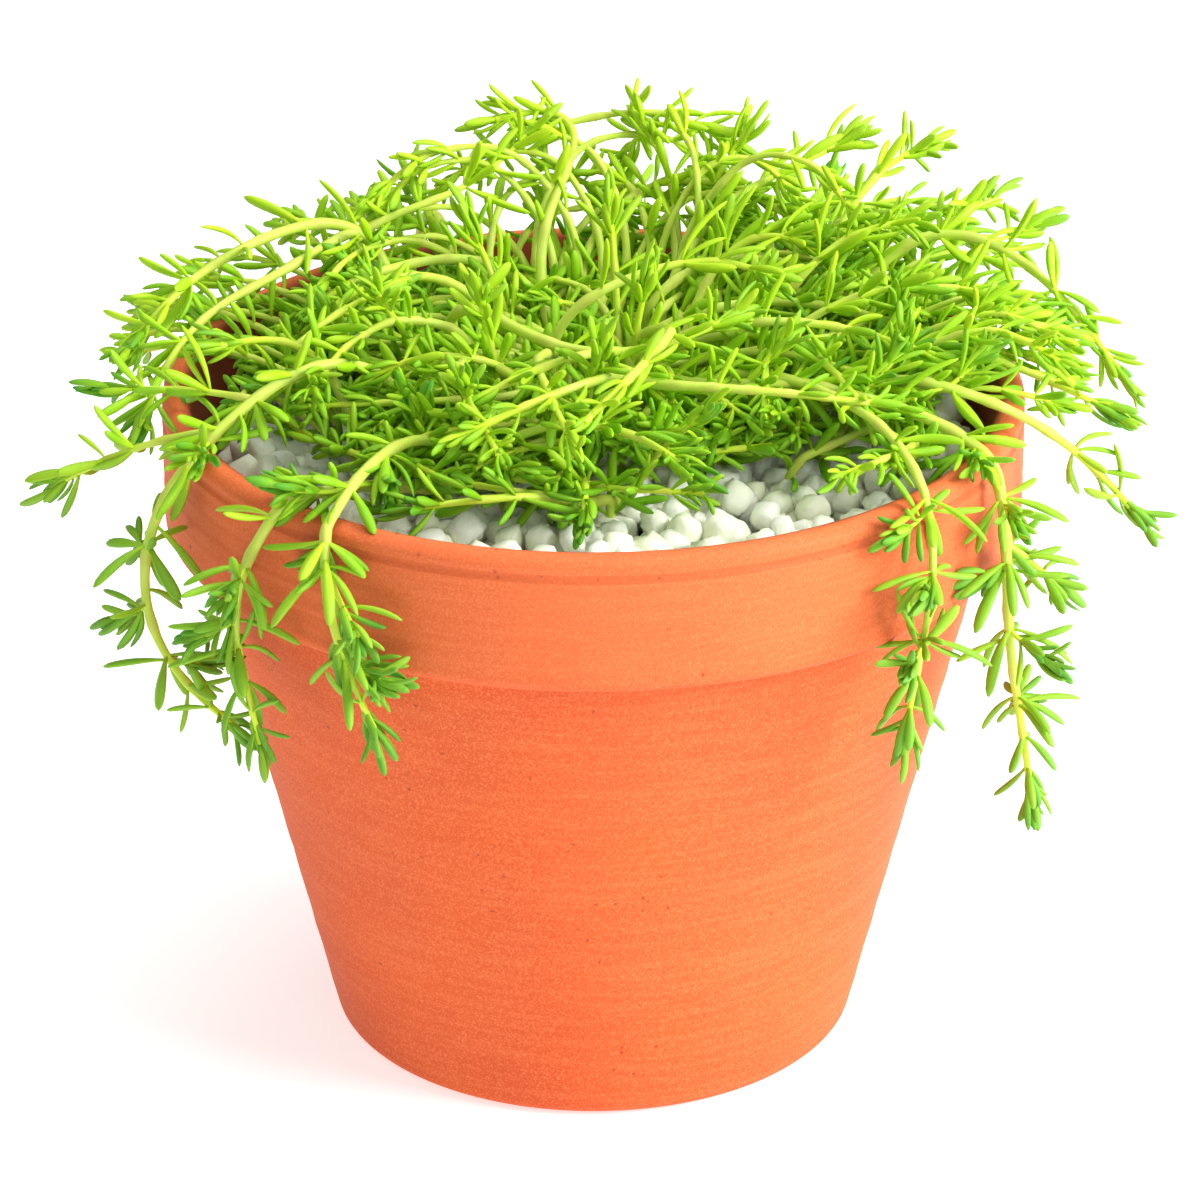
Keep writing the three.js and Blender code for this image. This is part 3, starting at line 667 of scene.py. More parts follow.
def stone_finish(filling):
    """Off-white stones with a grey-green shade, each its own tone."""
    finish = Finish("white_stone", 0.48, Subsurface_Weight=0.15)
    finish.shader.inputs["Subsurface Radius"].default_value = (0.002, 0.002, 0.0015)
    clouds = finish.noise(260.0, 4.0)
    specks = finish.noise(1400.0, 3.0)
    tone = finish.mix(finish.math("POWER", finish.attribute("tint"), 2.0), filling.stone_colour,
                      filling.stone_shade)
    tone = finish.mix(finish.between(clouds, 0.42, 0.72, 0.0, 0.55), tone, (0.90, 0.90, 0.85))
    tone = finish.mix(finish.between(specks, 0.60, 0.74, 0.0, 0.35), tone, filling.stone_shade)
    finish.colour(tone)
    finish.bump(finish.plus(clouds, finish.times(specks, 0.3)), 0.6 * MM, 0.55)
    return finish.material


def leaf_finish(shoots):
    """Fleshy leaves: pale at the foot, green along the blade, deeper in the tip rosettes."""
    finish = Finish("sedum_leaf", 0.5, Subsurface_Weight=0.12, Specular_IOR_Level=0.28)
    finish.shader.inputs["Subsurface Radius"].default_value = (0.0012, 0.0022, 0.0004)
    along = finish.attribute("along")
    youth = finish.attribute("youth")
    tint = finish.attribute("tint")
    blade = finish.mix(finish.between(along, 0.0, 0.5), shoots.leaf_pale, shoots.leaf_colour)
    young = finish.mix(finish.between(along, 0.1, 0.9), shoots.leaf_colour, shoots.rosette_colour)
    tone = finish.mix(youth, blade, young)
    tone = finish.mix(finish.times(finish.math("POWER", tint, 2.0), 0.6), tone, shoots.leaf_pale)
    patches = finish.noise(220.0, 3.0)
    tone = finish.mix(finish.between(patches, 0.45, 0.75, 0.0, 0.30), tone, (0.45, 0.72, 0.03))
    # Painted shade and light: leaves deep in the pot and hanging ones are painted a darker green for the
    # shade they sit in, and the highest are painted paler as painted light.
    x, y, z = finish.separate(finish.coordinates)
    radius = finish.radius(x, y)
    # Painted shade: leaves low inside the pot are painted towards the deep leaf colour.
    sunk = finish.between(z, POT_HEIGHT - 4 * MM, POT_HEIGHT + 13 * MM, 0.75, 0.0)
    sunk = finish.times(sunk, finish.math("LESS_THAN", radius, RIM_RADIUS))
    tone = finish.mix(sunk, tone, shoots.leaf_painted_shade)
    # Painted shade: leaves outside the rim are painted a darker green, the more the lower they hang.
    hanging = finish.times(finish.between(z, POT_HEIGHT - 15 * MM, POT_HEIGHT + 6 * MM, 0.5, 0.0),
                           finish.math("GREATER_THAN", radius, RIM_RADIUS))
    tone = finish.mix(hanging, tone, (0.13, 0.34, 0.035))
    # Painted light: the highest leaves are painted paler.
    high = finish.between(z, POT_HEIGHT + 12 * MM, POT_HEIGHT + 34 * MM, 0.0, 0.5)
    tone = finish.mix(high, tone, shoots.leaf_pale)
    finish.colour(tone)
    finish.bump(finish.noise(900.0, 2.0), 0.12 * MM, 0.35)
    return finish.material


def stem_finish(shoots):
    """Yellow-green stems, greener towards their tips, with a faint rusty blush at some rings."""
    finish = Finish("sedum_stem", 0.45, Subsurface_Weight=0.25, Specular_IOR_Level=0.3)
    finish.shader.inputs["Subsurface Radius"].default_value = (0.0012, 0.0020, 0.0005)
    youth = finish.attribute("youth")
    tone = finish.mix(youth, shoots.stem_colour, shoots.leaf_pale)
    streaks = finish.noise(180.0, 3.0)
    tone = finish.mix(finish.between(streaks, 0.5, 0.75, 0.0, 0.5), tone, (0.76, 0.84, 0.20))
    tone = finish.mix(finish.times(finish.attribute("ring"), 0.25), tone, (0.50, 0.33, 0.10))
    finish.colour(tone)
    finish.bump(finish.noise(700.0, 3.0), 0.15 * MM, 0.4)
    return finish.material


def plant_finishes(shoots):
    """The leaf and the stem finish, made once and shared by all shoots."""
    made = bpy.data.materials
    return made.get("sedum_leaf") or leaf_finish(shoots), made.get("sedum_stem") or stem_finish(shoots)


# ---------------------------------------------------------------- pot


def arc(centre, radius, start, stop, steps):
    """Points [radius, height] along an arc, angles in degrees."""
    angles = np.radians(np.linspace(start, stop, steps + 1))
    return [(centre[0] + radius * math.cos(a), centre[1] + radius * math.sin(a)) for a in angles]


def straight(start, stop, steps):
    """Points between two corners, without the corners."""
    return [tuple(np.array(start) + (np.array(stop) - np.array(start)) * i / steps) for i in range(1, steps)]


def pot_profile(pot, shape):
    """The wall's outline, from the drain hole out, up, over the lip and down the inside."""
    lip = min(pot.lip_round, pot.wall / 2 - 0.1 * MM)
    foot_round, hole_round, fold = 3 * MM, 1 * MM, 1.6 * MM
    collar_foot = (shape.body_top, shape.collar_foot)
    outline = arc((pot.drain_radius + hole_round, hole_round), hole_round, -180, -90, 4)
    outline += straight(outline[-1], (pot.base_radius - foot_round, 0), 6)
    outline += arc((pot.base_radius - foot_round, foot_round), foot_round, -90, -12, 6)
    outline += straight(outline[-1], (shape.body_top, shape.collar_foot - fold), 40)
    outline += arc((shape.body_top + fold, shape.collar_foot - fold), fold, 180, 90, 4)
    outline += arc((RIM_RADIUS - 2.4 * MM, collar_foot[1] + 2.4 * MM), 2.4 * MM, -90, 0, 6)
    outline += straight(outline[-1], (RIM_RADIUS, POT_HEIGHT - lip), 48)
    outline += arc((RIM_RADIUS - lip, POT_HEIGHT - lip), lip, 0, 90, 6)
    outline += arc((shape.inner_top + lip, POT_HEIGHT - lip), lip, 90, 180, 6)
    outline += straight(outline[-1], (shape.inner_floor + 2 * MM, pot.floor_thickness + 2 * MM), 24)
    outline += arc((shape.inner_floor - 2 * MM, pot.floor_thickness + 2 * MM), 2 * MM, 0, -90, 4)
    outline += straight(outline[-1], (pot.drain_radius + hole_round, pot.floor_thickness), 6)
    outline += arc((pot.drain_radius + hole_round, pot.floor_thickness - hole_round), hole_round, 90, 180, 4)
    return outline


def turned_mesh(name, outline, sides, wobble=None, closed=True):
    """A mesh turned round the Z axis from an outline of [radius, height]."""
    mesh = bmesh.new()
    rings = []
    for radius, height in outline:
        ring = []
        for i in range(sides):
            angle = 2 * math.pi * i / sides
            r, z = (radius, height) if wobble is None else wobble(radius, height, angle)
            ring.append(mesh.verts.new((r * math.cos(angle), r * math.sin(angle), z)))
        rings.append(ring)
    pairs = list(zip(rings, rings[1:] + rings[:1])) if closed else list(zip(rings, rings[1:]))
    for lower, upper in pairs:
        for i in range(sides):
            j = (i + 1) % sides
            mesh.faces.new((lower[i], lower[j], upper[j], upper[i]))
    if not closed:
        mesh.faces.new(rings[0][::-1])
        mesh.faces.new(rings[-1])
    bmesh.ops.recalc_face_normals(mesh, faces=mesh.faces)
    data = bpy.data.meshes.new(name)
    mesh.to_mesh(data)
    mesh.free()
    data.shade_smooth()
    piece = bpy.data.objects.new(name, data)
    bpy.context.scene.collection.objects.link(piece)
    return piece


class SEDUM_OT_make_pot(bpy.types.Operator):
    """Turn the clay pot"""

    bl_idname = "sedum.make_pot"
    bl_label = "Clay pot"

    def execute(self, context):
        pot = context.scene.sedum_pot
        shape = PotShape(pot, context.scene.sedum_filling)

        def wobble(radius, height, angle):
            marks = math.sin(height / MM * 2.1) + 0.6 * math.sin(height / MM * 3.7 + 1.3)
            out_of_round = 0.12 * MM * math.sin(2 * angle + 0.7) * height / POT_HEIGHT
            on_wall = 1.0 if height > pot.floor_thickness else 0.0
            groove = math.exp(-((POT_HEIGHT - 3.7 * MM - height) / (0.55 * MM)) ** 2)
            radius -= pot.groove_depth * groove * (radius > RIM_RADIUS - pot.lip_round)
            return radius + on_wall * (pot.turning_depth * marks + out_of_round), height

        piece = turned_mesh("clay_pot", pot_profile(pot, shape), 192, wobble)
        piece.data.materials.append(terracotta_finish(pot))
        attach(piece, "root")
        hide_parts("terracotta_pot")
        return {"FINISHED"}


# ---------------------------------------------------------------- soil and stones


class SEDUM_OT_make_soil(bpy.types.Operator):
    """Fill the pot with soil"""

    bl_idname = "sedum.make_soil"
    bl_label = "Potting soil"

    def execute(self, context):
        filling = context.scene.sedum_filling
        shape = PotShape(context.scene.sedum_pot, filling)
        bottom = SOIL_LOW.z
        top = SOIL_HIGH.z
        rings = 14
        outline = straight((0.5 * MM, bottom), (shape.inner(bottom) - 2 * FIT_GAP, bottom), rings)
        outline += straight((shape.inner(bottom) - FIT_GAP, bottom), (shape.inner(top) - FIT_GAP, top),
                            2 * rings)
        outline += straight((shape.inner(top) - FIT_GAP, top), (0.5 * MM, top), 2 * rings)

        def crumble(radius, height, angle):
            rough = math.sin(9 * angle + height / MM) * math.sin(radius / MM * 0.9 + 3 * angle)
            return radius * (1 - 0.004 * abs(rough)), height - 0.6 * MM * abs(rough) * (height > top - MM)

        piece = turned_mesh("soil_fill", outline, 72, crumble, closed=False)
        piece.data.materials.append(soil_finish(filling))
        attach(piece, "root")
        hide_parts("potting_soil")
        return {"FINISHED"}


def stone_tree(material):
    """Stones scattered on a disc: round pebbles of several shapes, turned every way."""
    tree = GeometryTree("White stones", [
        ("Radius", "NodeSocketFloat", 0.065),
        ("Level", "NodeSocketFloat", 0.11),
        ("Stone Size", "NodeSocketFloat", 0.008),
        ("Spacing", "NodeSocketFloat", 0.0064),
        ("Seed", "NodeSocketInt", 7),
    ])
    size = tree.inputs["Stone Size"]
    layers = []
    for layer in range(3):
        disc = tree.node("GeometryNodeMeshCircle", {"fill_type": "NGON"},
                         {"Vertices": 64, "Radius": tree.inputs["Radius"]}).outputs[0]
        drop = tree.minus(tree.inputs["Level"], tree.times(size, 0.38 * layer))
        disc = tree.node("GeometryNodeTransform", None,
                         {"Geometry": disc, "Translation": tree.combine(0.0, 0.0, drop)}).outputs[0]
        scattered = tree.node("GeometryNodeDistributePointsOnFaces", {"distribute_method": "POISSON"},
                              {"Mesh": disc, "Distance Min": tree.inputs["Spacing"], "Density Max": 90000.0,
                               "Seed": tree.plus(tree.inputs["Seed"], float(layer))})
        layers.append(scattered.outputs[0])
    points = tree.join(*layers)
    lift = tree.combine(0.0, 0.0, tree.times(tree.random(-0.16, 0.16, 1), size))
    points = tree.node("GeometryNodeSetPosition", None, {"Geometry": points, "Offset": lift}).outputs[0]
    points = tree.store(points, "tint", tree.random(0.0, 1.0, 3))
    shapes = []
    for variant in range(5):
        ball = tree.node("GeometryNodeMeshCube", None,
                         {"Vertices X": 4, "Vertices Y": 4, "Vertices Z": 4}).outputs[0]
        corner = tree.node("GeometryNodeInputPosition").outputs[0]
        position = tree.vector("ADD", tree.scaled(corner, 0.28),
                               tree.scaled(tree.vector("NORMALIZE", corner), 0.36))
        noise = tree.node("ShaderNodeTexNoise", {"noise_dimensions": "4D"},
                          {"Vector": position, "W": 3.7 * variant, "Scale": 2.6, "Detail": 1.5})
        swell = tree.between(noise.outputs[0], 0.25, 0.75, 0.74, 1.20)
        ball = tree.moved_to(ball, tree.scaled(position, swell))
        flatten = (1.0, 0.78 + 0.05 * variant, 0.70 + 0.06 * ((variant * 3) % 5))
        ball = tree.node("GeometryNodeTransform", None, {"Geometry": ball, "Scale": flatten}).outputs[0]
        shapes.append(tree.choice(ball))
    turn = tree.combine(*[tree.random(0.0, 2 * math.pi, salt) for salt in (11, 12, 13)])
    grown = tree.times(size, tree.random(0.84, 1.14, 17))
    tree.finish(tree.pick(points, shapes, turn, tree.combine(grown, grown, grown)), material)
    return tree


class SEDUM_OT_make_stones(bpy.types.Operator):
    """Lay the white stones on the soil"""

    bl_idname = "sedum.make_stones"
    bl_label = "White stones"

    def execute(self, context):
        filling = context.scene.sedum_filling
        shape = PotShape(context.scene.sedum_pot, filling)
        level = shape.gravel_top - 0.12 * filling.stone_size
        tree = stone_tree(stone_finish(filling))
        piece = made_by(tree, "white_stones", [(0, 0, 0)], {}, {
            "Radius": float(shape.inner(level)) - 0.6 * filling.stone_size,
            "Level": level,
            "Stone Size": filling.stone_size,
            "Spacing": filling.stone_spacing,
            "Seed": 7,
        })
        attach(piece, "root")
        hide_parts("white_gravel")
        return {"FINISHED"}


# ---------------------------------------------------------------- shoots


def leaf_shape(tree, bend):
    """One blunt fleshy leaf along +Z, one unit long, its upper side towards +X."""
    cylinder = tree.node("GeometryNodeMeshCylinder", {"fill_type": "NGON"},
                         {"Vertices": 6, "Side Segments": 7, "Radius": 0.5, "Depth": 1.0}).outputs[0]
    x, y, z = tree.separate(tree.node("GeometryNodeInputPosition").outputs[0])
    share = tree.plus(z, 0.5)
    eased = tree.minus(1.0, tree.math("POWER", tree.minus(1.0, share), 1.35))
    girth = tree.curve(eased, [(0.0, 0.36), (0.2, 0.50), (0.45, 0.86), (0.68, 1.0), (0.86, 0.86),
                               (0.96, 0.58), (1.0, 0.24)])
    arch = tree.times(tree.times(eased, eased), tree.times(tree.inputs["Leaf Length"], bend))
    thick = tree.times(tree.inputs["Leaf Thickness"], girth)
    wide = tree.times(tree.inputs["Leaf Width"], girth)
    shaped = tree.combine(tree.plus(tree.times(x, thick), arch), tree.times(y, wide), eased)
    leaf = tree.store(cylinder, "along", eased)
    leaf = tree.store(leaf, "blade", True, "FACE", "BOOLEAN")
    return tree.choice(tree.moved_to(leaf, shaped))


def clear_of_pot(tree, base, direction, length):
    """The direction turned, where it has to be, so that the leaf stays out of the pot and the stones."""
    inputs = tree.inputs
    for _ in range(2):
        tip = tree.vector("ADD", base, tree.scaled(direction, length))
        tip_x, tip_y, tip_z = tree.separate(tip)
        base_x, base_y, base_z = tree.separate(base)
        tip_radius = tree.radius(tip_x, tip_y)
        base_radius = tree.radius(base_x, base_y)
        below_collar = tree.math("LESS_THAN", tip_z, inputs["Collar Foot"])
        wall = tree.minus(inputs["Rim Radius"], tree.times(below_collar, inputs["Collar Step"]))
        taper = tree.times(tree.math("MAXIMUM", tree.minus(inputs["Collar Foot"], tip_z), 0.0),
                           inputs["Taper"])
        wall = tree.plus(tree.minus(wall, taper), inputs["Margin"])
        below_rim = tree.math("LESS_THAN", tip_z, tree.plus(inputs["Pot Height"], inputs["Margin"]))
        outside = tree.math("GREATER_THAN", base_radius, inputs["Rim Radius"])
        depth = tree.math("MAXIMUM", tree.minus(wall, tip_radius), 0.0)
        push = tree.times(tree.times(depth, below_rim), outside)
        outward = tree.vector("NORMALIZE", tree.combine(base_x, base_y, 0.0))
        over_rim = tree.math("GREATER_THAN", tip_radius, tree.minus(inputs["Inner Radius"], inputs["Margin"]))
        level = tree.plus(tree.times(over_rim, tree.minus(inputs["Pot Height"], inputs["Stone Level"])),
                          tree.plus(inputs["Stone Level"], inputs["Margin"]))
        inside = tree.minus(1.0, outside)
        lift = tree.times(tree.math("MAXIMUM", tree.minus(level, tip_z), 0.0), inside)
        moved = tree.vector("ADD", tree.scaled(direction, length),
                            tree.scaled(outward, tree.times(push, 1.3)))
        moved = tree.vector("ADD", moved, tree.combine(0.0, 0.0, tree.times(lift, 1.3)))
        direction = tree.vector("NORMALIZE", moved)
    return direction


def leaves_on(tree, curves, zone, salt):
    """Leaves set round the stems in one zone of them, as points ready for leaf shapes.

    The curves start at the tips. A zone gives where it starts and ends from the tip, the spacing
    of its rings, the leaves in a ring, the lean, the length, and how young the leaves are.
    """
    trimmed = tree.node("GeometryNodeTrimCurve", {"mode": "LENGTH"},
                        {"Curve": curves, 4: zone["start"], 5: zone["end"]}).outputs[0]
    rings = tree.node("GeometryNodeCurveToPoints", {"mode": "LENGTH"},
                      {"Curve": trimmed, "Length": zone["spacing"]})
    points = tree.store(rings.outputs["Points"], "heading", tree.scaled(rings.outputs["Tangent"], -1.0),
                        data_type="FLOAT_VECTOR")
    points = tree.store(points, "ring_number", tree.node("GeometryNodeInputIndex").outputs[0])
    copies = tree.node("GeometryNodeDuplicateElements", {"domain": "POINT"},
                       {"Geometry": points, "Amount": zone["count"]})
    points, copy = copies.outputs[0], copies.outputs[1]
    ring = tree.named("ring_number")
    heading = tree.named("heading", "FLOAT_VECTOR")
    upright = tree.combine(0.13, 0.07, 1.0)
    side = tree.vector("NORMALIZE", tree.vector("CROSS_PRODUCT", heading, upright))
    over = tree.vector("CROSS_PRODUCT", side, heading)
    share = tree.over(copy, zone["count"])
    turn = tree.plus(tree.times(share, 2 * math.pi), tree.times(ring, zone["twist"]))
    turn = tree.plus(turn, tree.random(-0.5, 0.5, salt))
    out = tree.vector("ADD", tree.scaled(side, tree.math("COSINE", turn)),
                      tree.scaled(over, tree.math("SINE", turn)))
    lean = tree.plus(zone["lean"], tree.random(-0.32, 0.32, salt + 1))
    direction = tree.vector("ADD", tree.scaled(heading, tree.math("COSINE", lean)),
                            tree.scaled(out, tree.math("SINE", lean)))
    direction = tree.vector("NORMALIZE", tree.vector("ADD", direction, tree.combine(0.0, 0.0, zone["rise"])))
    length = tree.times(tree.inputs["Leaf Length"],
                        tree.times(zone["length"], tree.random(0.78, 1.12, salt + 2)))
    base = tree.node("GeometryNodeInputPosition").outputs[0]
    direction = clear_of_pot(tree, base, direction, length)
    points = tree.store(points, "direction", direction, data_type="FLOAT_VECTOR")
    points = tree.store(points, "leaf_length", length)
    points = tree.store(points, "youth", zone["youth"])
    missing = tree.math("LESS_THAN", tree.random(0.0, 1.0, salt + 3), zone["missing"])
    return tree.node("GeometryNodeDeleteGeometry", {"domain": "POINT"},
                     {"Geometry": points, "Selection": missing}).outputs[0]


def shoot_tree(name, leaf_material, stem_material):
    """Leafy stems along lines of points: stems, rings of leaves and a rosette at each tip."""
    tree = GeometryTree(name, [
        ("Stem Radius", "NodeSocketFloat", 0.00115),
        ("Leaf Length", "NodeSocketFloat", 0.010),
        ("Leaf Width", "NodeSocketFloat", 0.0021),
        ("Leaf Thickness", "NodeSocketFloat", 0.0015),
        ("Ring Spacing", "NodeSocketFloat", 0.0078),
        ("Leaves in a Ring", "NodeSocketInt", 4),
        ("Leaves at a Tip", "NodeSocketInt", 13),
        ("Pot Height", "NodeSocketFloat", 0.122),
        ("Rim Radius", "NodeSocketFloat", 0.076),
        ("Inner Radius", "NodeSocketFloat", 0.071),
        ("Collar Foot", "NodeSocketFloat", 0.097),
        ("Collar Step", "NodeSocketFloat", 0.006),
        ("Taper", "NodeSocketFloat", 0.23),
        ("Stone Level", "NodeSocketFloat", 0.114),
        ("Margin", "NodeSocketFloat", 0.0012),
        ("Tip Depth", "NodeSocketFloat", 1.0),
        ("Seed", "NodeSocketInt", 1),
    ])
    inputs = tree.inputs
    points = tree.node("GeometryNodeMeshToPoints", None,
                       {"Mesh": inputs["Geometry"], "Radius": 0.001}).outputs[0]
    curves = tree.node("GeometryNodePointsToCurves", None,
                       {"Points": points, "Curve Group ID": tree.named("run", "INT"),
                        "Weight": tree.named("order")}).outputs[0]
    curves = tree.node("GeometryNodeCurveSplineType", {"spline_type": "CATMULL_ROM"},
                       {"Curve": curves}).outputs[0]
    curves = tree.node("GeometryNodeSetSplineResolution", None,
                       {"Geometry": curves, "Resolution": 3}).outputs[0]
    curves = tree.node("GeometryNodeReverseCurve", None, {0: curves}).outputs[0]

    # The curves now start at the tips, so a length along one is the distance from its tip.
    from_tip = tree.node("GeometryNodeSplineParameter").outputs["Length"]
    youth = tree.between(from_tip, 0.0, 0.030, 1.0, 0.0)
    ring_phase = tree.times(tree.over(from_tip, inputs["Ring Spacing"]), 2 * math.pi)
    ring = tree.math("POWER", tree.times(tree.plus(tree.math("COSINE", ring_phase), 1.0), 0.5), 5.0)
    girth = tree.between(from_tip, 0.0, 0.045, 0.55, 1.0)
    girth = tree.times(girth, tree.named("vigour"))
    girth = tree.plus(girth, tree.times(ring, 0.16))
    fine = tree.node("GeometryNodeResampleCurve", {"mode": "LENGTH"},
                     {"Curve": curves, "Length": 0.0012}).outputs[0]
    fine = tree.store(fine, "ring", ring)
    fine = tree.store(fine, "youth", youth)
    fine = tree.node("GeometryNodeSetCurveRadius", None,
                     {"Curve": fine, "Radius": tree.times(girth, inputs["Stem Radius"])}).outputs[0]
    section = tree.node("GeometryNodeCurvePrimitiveCircle", None, {"Resolution": 8, "Radius": 1.0}).outputs[0]
    stems = tree.node("GeometryNodeCurveToMesh", None,
                      {"Curve": fine, "Profile Curve": section, "Fill Caps": True,
                       "Scale": tree.node("GeometryNodeInputRadius").outputs[0]}).outputs[0]

    spacing, leaf_length = inputs["Ring Spacing"], inputs["Leaf Length"]
    zones = [
        # Grown rings along the stem.
        {"start": 0.018, "end": 10.0, "spacing": spacing, "count": inputs["Leaves in a Ring"], "twist": 0.9,
         "lean": 1.05, "rise": 0.25, "length": 1.0, "youth": 0.0, "missing": tree.named("bareness")},
        # Closer rings below the rosette.
        {"start": 0.0058, "end": 0.018, "spacing": 0.0050, "count": 3, "twist": 0.9,
         "lean": 0.85, "rise": 0.12, "length": 0.78, "youth": 0.4, "missing": 0.10},
        # The rosette: single leaves, each a golden angle on from the last, closing over the tip.
        {"start": 0.0003, "end": 0.0055, "spacing": tree.over(0.0054, inputs["Leaves at a Tip"]),
         "count": 1, "twist": math.radians(GOLDEN_ANGLE), "lean": 0.62, "rise": 0.05, "length": 0.60,
         "youth": inputs["Tip Depth"], "missing": 0.0},
    ]
    leaves = tree.join(*[leaves_on(tree, curves, zone, 20 * i) for i, zone in enumerate(zones)])
    leaves = tree.store(leaves, "tint", tree.random(0.0, 1.0, 91))
    rotation = tree.node("FunctionNodeAxesToRotation", {"primary_axis": "Z", "secondary_axis": "X"},
                         {0: tree.named("direction", "FLOAT_VECTOR"),
                          1: tree.named("heading", "FLOAT_VECTOR")})
    size = tree.named("leaf_length")
    plump = tree.math("POWER", tree.over(size, leaf_length), 0.45)
    slim = tree.times(plump, tree.random(0.72, 1.15, 92))
    shapes = [leaf_shape(tree, bend) for bend in (0.12, 0.30, -0.14, 0.46)]
    leaves = tree.pick(leaves, shapes, rotation.outputs[0], tree.combine(plump, slim, size))
    tree.finish(tree.join(stems, leaves), stem_material, leaf_material)
    return tree


def shoot_values(context, shape):
    """The tree's inputs that are the same for every shoot."""
    shoots = context.scene.sedum_shoots
    return {
        "Stem Radius": shoots.stem_radius,
        "Leaf Length": shoots.leaf_length,
        "Leaf Width": shoots.leaf_width,
        "Leaf Thickness": shoots.leaf_thickness,
        "Ring Spacing": shoots.whorl_spacing,
        "Leaves in a Ring": shoots.leaves_per_whorl,
        "Leaves at a Tip": shoots.tip_leaves,
        "Pot Height": POT_HEIGHT,
        "Rim Radius": RIM_RADIUS,
        "Inner Radius": shape.inner_top,
        "Collar Foot": shape.collar_foot,
        "Collar Step": RIM_RADIUS - shape.body_top,
        "Taper": (shape.body_top - shape.base) / shape.collar_foot,
        "Stone Level": shape.gravel_top,
    }


def make_leafy_piece(tree, name, lines, values):
    """One piece from its lines, each (points, vigour of the stem, share of its leaves missing)."""
    points = np.concatenate([line[0] for line in lines])
    run = np.concatenate([np.full(len(line[0]), i, np.int32) for i, line in enumerate(lines)])
    order = np.concatenate([np.arange(len(line[0]), dtype=np.float32) for line in lines])
    vigour = np.concatenate([np.full(len(line[0]), line[1], np.float32) for line in lines])
    bareness = np.concatenate([np.full(len(line[0]), line[2], np.float32) for line in lines])
    attributes = {"run": ("INT", run), "order": ("FLOAT", order), "vigour": ("FLOAT", vigour),
                  "bareness": ("FLOAT", bareness)}
    piece = made_by(tree, name, points, attributes, values)
    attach(piece, "root")
    return piece


def side_shoots(points, shape, rng, stem_radius, hanging):
    """Short side shoots along a stem, each turned out from it and a little up."""
    lines = []
    step = 4 if hanging else 9
    for i in range(rng.randint(9, 12) if hanging else 7, len(points) - 4, step):
        if rng.random() < (0.25 if hanging else 0.4):
            continue
        along = points[i + 1] - points[i - 1]
        along /= np.linalg.norm(along)
        side = np.cross(along, np.array([0.1, 0.2, 1.0]))
        side /= np.linalg.norm(side)
        over = np.cross(side, along)
        turn = rng.uniform(0, 2 * math.pi)
        out = side * math.cos(turn) + over * math.sin(turn)
        length = rng.uniform(5.5, 11) * MM
        heading = along * 0.6 + out * 0.8
        steps = np.linspace(0, 1, 5)[:, None]
        line = points[i] + heading * length * steps + np.array([0, 0, 1.0]) * length * 0.25 * steps ** 2
        lines.append((shape.clear(line, stem_radius + 0.3 * MM), 0.58, 0.1))
    return lines


class SEDUM_OT_make_shoots(bpy.types.Operator):
    """Grow the named shoots, each one piece with its side branches and leaves"""

    bl_idname = "sedum.make_shoots"
    bl_label = "Shoots"

    def execute(self, context):
        shoots = context.scene.sedum_shoots
        shape = PotShape(context.scene.sedum_pot, context.scene.sedum_filling)
        tree = shoot_tree("Leafy shoot", *plant_finishes(shoots))
        values = shoot_values(context, shape)
        runs = grow_runs(shape, shoots.stem_radius)
        rng = random.Random(11)
        for number, name in enumerate(dict.fromkeys(run["shoot"] for run in runs)):
            lines = []
            bareness = BARENESS.get(name, COMMON_BARENESS)
            for run in runs:
                if run["shoot"] != name:
                    continue
                lines.append((run["points"], 0.86 if run["parent"] is None else 0.72, bareness))
                if len(run["points"]) > 14 and bareness < 0.5:
                    hanging = run["points"][-1][2] < POT_HEIGHT - 10 * MM
                    lines += side_shoots(run["points"], shape, rng, shoots.stem_radius, hanging)
            piece = make_leafy_piece(tree, "leafy_" + name, lines, {**values, "Seed": number})
            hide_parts(name)
        return {"FINISHED"}


SECTORS = ("front_left", "front_right", "right", "back_right", "back_left", "left")

# The low shoots have smaller, closer leaves.
LOW_LEAVES = {"Leaf Length": 8.4 * MM, "Leaf Width": 1.85 * MM, "Ring Spacing": 6.5 * MM,
              "Leaves in a Ring": 3, "Leaves at a Tip": 9, "Tip Depth": 0.35}

# How far out the low shoots grow: (bearing, share of the rim's radius).
# The stones lie open at the front right.
CROWN_EDGE = [(-180, 0.74), (-140, 0.74), (-105, 0.80), (-75, 0.73), (-55, 0.70), (-35, 0.70), (-10, 0.74),
              (0, 0.68), (12, 0.48), (38, 0.50), (50, 0.74), (62, 0.88), (130, 0.88), (180, 0.74)]

# Shoots that lean out over the rim: (first bearing, last bearing, how many, highest lift).
LEANING = ((66, 156, 17, 13), (-152, -80, 10, 5))


def crown_edge(bearing):
    """How far out the low shoots grow at a bearing, as a share of the rim's radius."""
    turned = (bearing + 180) % 360 - 180
    return float(np.interp(turned, *zip(*CROWN_EDGE)))


def rightness(bearing):
    """From 0 at the left to 1 at the right."""
    return 0.5 + 0.5 * math.sin(math.radians(bearing))


